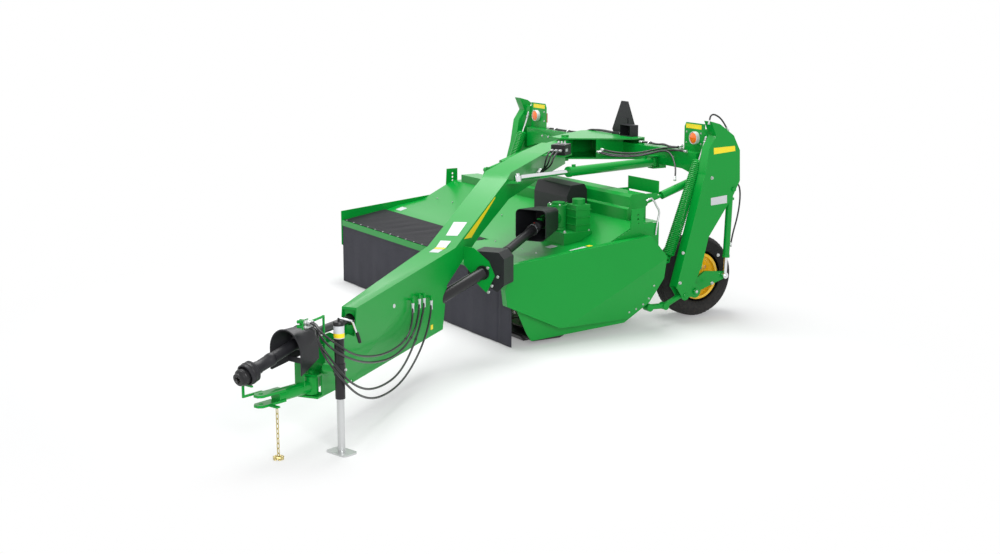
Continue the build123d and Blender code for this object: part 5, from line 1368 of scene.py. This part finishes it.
# %% [markdown]
# Rows of bolts hold the deck, the end shields and the crossbeam's plates. Rays that meet no plate
# land nothing, as at the deck's openings, so each row prints how many bolts it has.

# %% Plate bolts
deck_spots = [[x, -1700.0, 800] for x in range(-1560, 1600, 240)]
deck_spots += [[x, -1180.0, 900] for x in range(-1500, 200, 340)]
shield_spots = [[1735, y, z] for y, z in
                ((-760, 300), (-820, 250), (-900, 215), (-980, 195), (-720, 420))]
beam_spots = [[x, -60, 1500] for x in (-1180, -1060, -640, -520, 700, 1160)]
bolt_rows("deck_bolts", "header_deck", deck_spots, DOWN, 13, "carrier")
bolt_rows("shield_bolts_left", "end_shield_left", shield_spots, [-1, 0, 0], 13, "carrier")
bolt_rows("shield_bolts_right", "end_shield_right", mirrored(shield_spots), [1, 0, 0], 13, "carrier")
bolt_rows("crossbeam_bolts", "carrier_beam", beam_spots, [0, 1, 0], 16, "carrier")

# %% [markdown]
# The machine stands on one pale floor. It turns to plain white further out, so that no edge of it
# shows, and near the machine it keeps the shadow.

# %% Floor
FLOOR_HALF = 30.0
floor_mesh = bpy.data.meshes.new("floor")
corners = [(x * FLOOR_HALF, y * FLOOR_HALF, 0) for x, y in ((-1, -1), (1, -1), (1, 1), (-1, 1))]
floor_mesh.from_pydata(corners, [], [(0, 1, 2, 3)])
floor = linked("floor", floor_mesh)
floor_paint, floor_tree, matt = blank("pale_floor")
valued(matt, Base_Color=(0.9, 0.9, 0.9, 1), Roughness=0.9, Specular_IOR_Level=0.1)
floor_spot = node(floor_tree, "ShaderNodeTexCoord")
distance = node(floor_tree, "ShaderNodeVectorMath", [(0, floor_spot.outputs["Object"])],
                operation="LENGTH")
far = ranged(floor_tree, distance.outputs["Value"], 2.4, 5.0, 0.25, 1.0, "SMOOTHSTEP")
white = node(floor_tree, "ShaderNodeEmission")
blended = node(floor_tree, "ShaderNodeMixShader",
               [(0, far), (1, matt.outputs["BSDF"]), (2, white.outputs["Emission"])])
joined(floor_tree, floor_tree.nodes["Material Output"], Surface=blended.outputs[0])
floor.data.materials.append(floor_paint)
print("floor", 2 * FLOOR_HALF, "m")

# %% [markdown]
# The light is one wide soft lamp above, a weaker one in front and an even light all round. The world
# is white to the camera and in reflections, and dimmer to the machine, so that colours render about
# as they are written.

# %% Light
world = bpy.data.worlds.new("studio")
scene.world = world
world.use_nodes = True
sky_tree = world.node_tree
back = sky_tree.nodes["Background"]
path = node(sky_tree, "ShaderNodeLightPath")
seen = maths(sky_tree, "MAXIMUM", path.outputs["Is Camera Ray"], path.outputs["Is Glossy Ray"])
seen_through = maths(sky_tree, "MAXIMUM", seen, path.outputs["Is Transmission Ray"])
sky = node(sky_tree, "ShaderNodeMix", [("Factor", seen_through)], data_type="RGBA",
           A=(0.5, 0.51, 0.52, 1), B=(1, 1, 1, 1))
joined(sky_tree, back, Color=sky.outputs["Result"])
valued(back, Strength=1.0)


def soft_lamp(name, spot, aim, size, watts):
    """A square area lamp at a place, turned to face another place."""
    lamp = bpy.data.lights.new(name, "AREA")
    lamp.shape = "SQUARE"
    lamp.size = size
    lamp.energy = watts
    piece = linked(name, lamp)
    piece.location = spot
    way = mathutils.Vector(aim) - mathutils.Vector(spot)
    piece.rotation_euler = way.to_track_quat("-Z", "Y").to_euler()
    print(name, watts, "W")


soft_lamp("overhead", (-1.5, 1.0, 7.0), (0, 0, 0), 5.0, 500)
soft_lamp("front_fill", (10.0, -3.5, 4.0), (0, 0, 0.8), 3.0, 420)
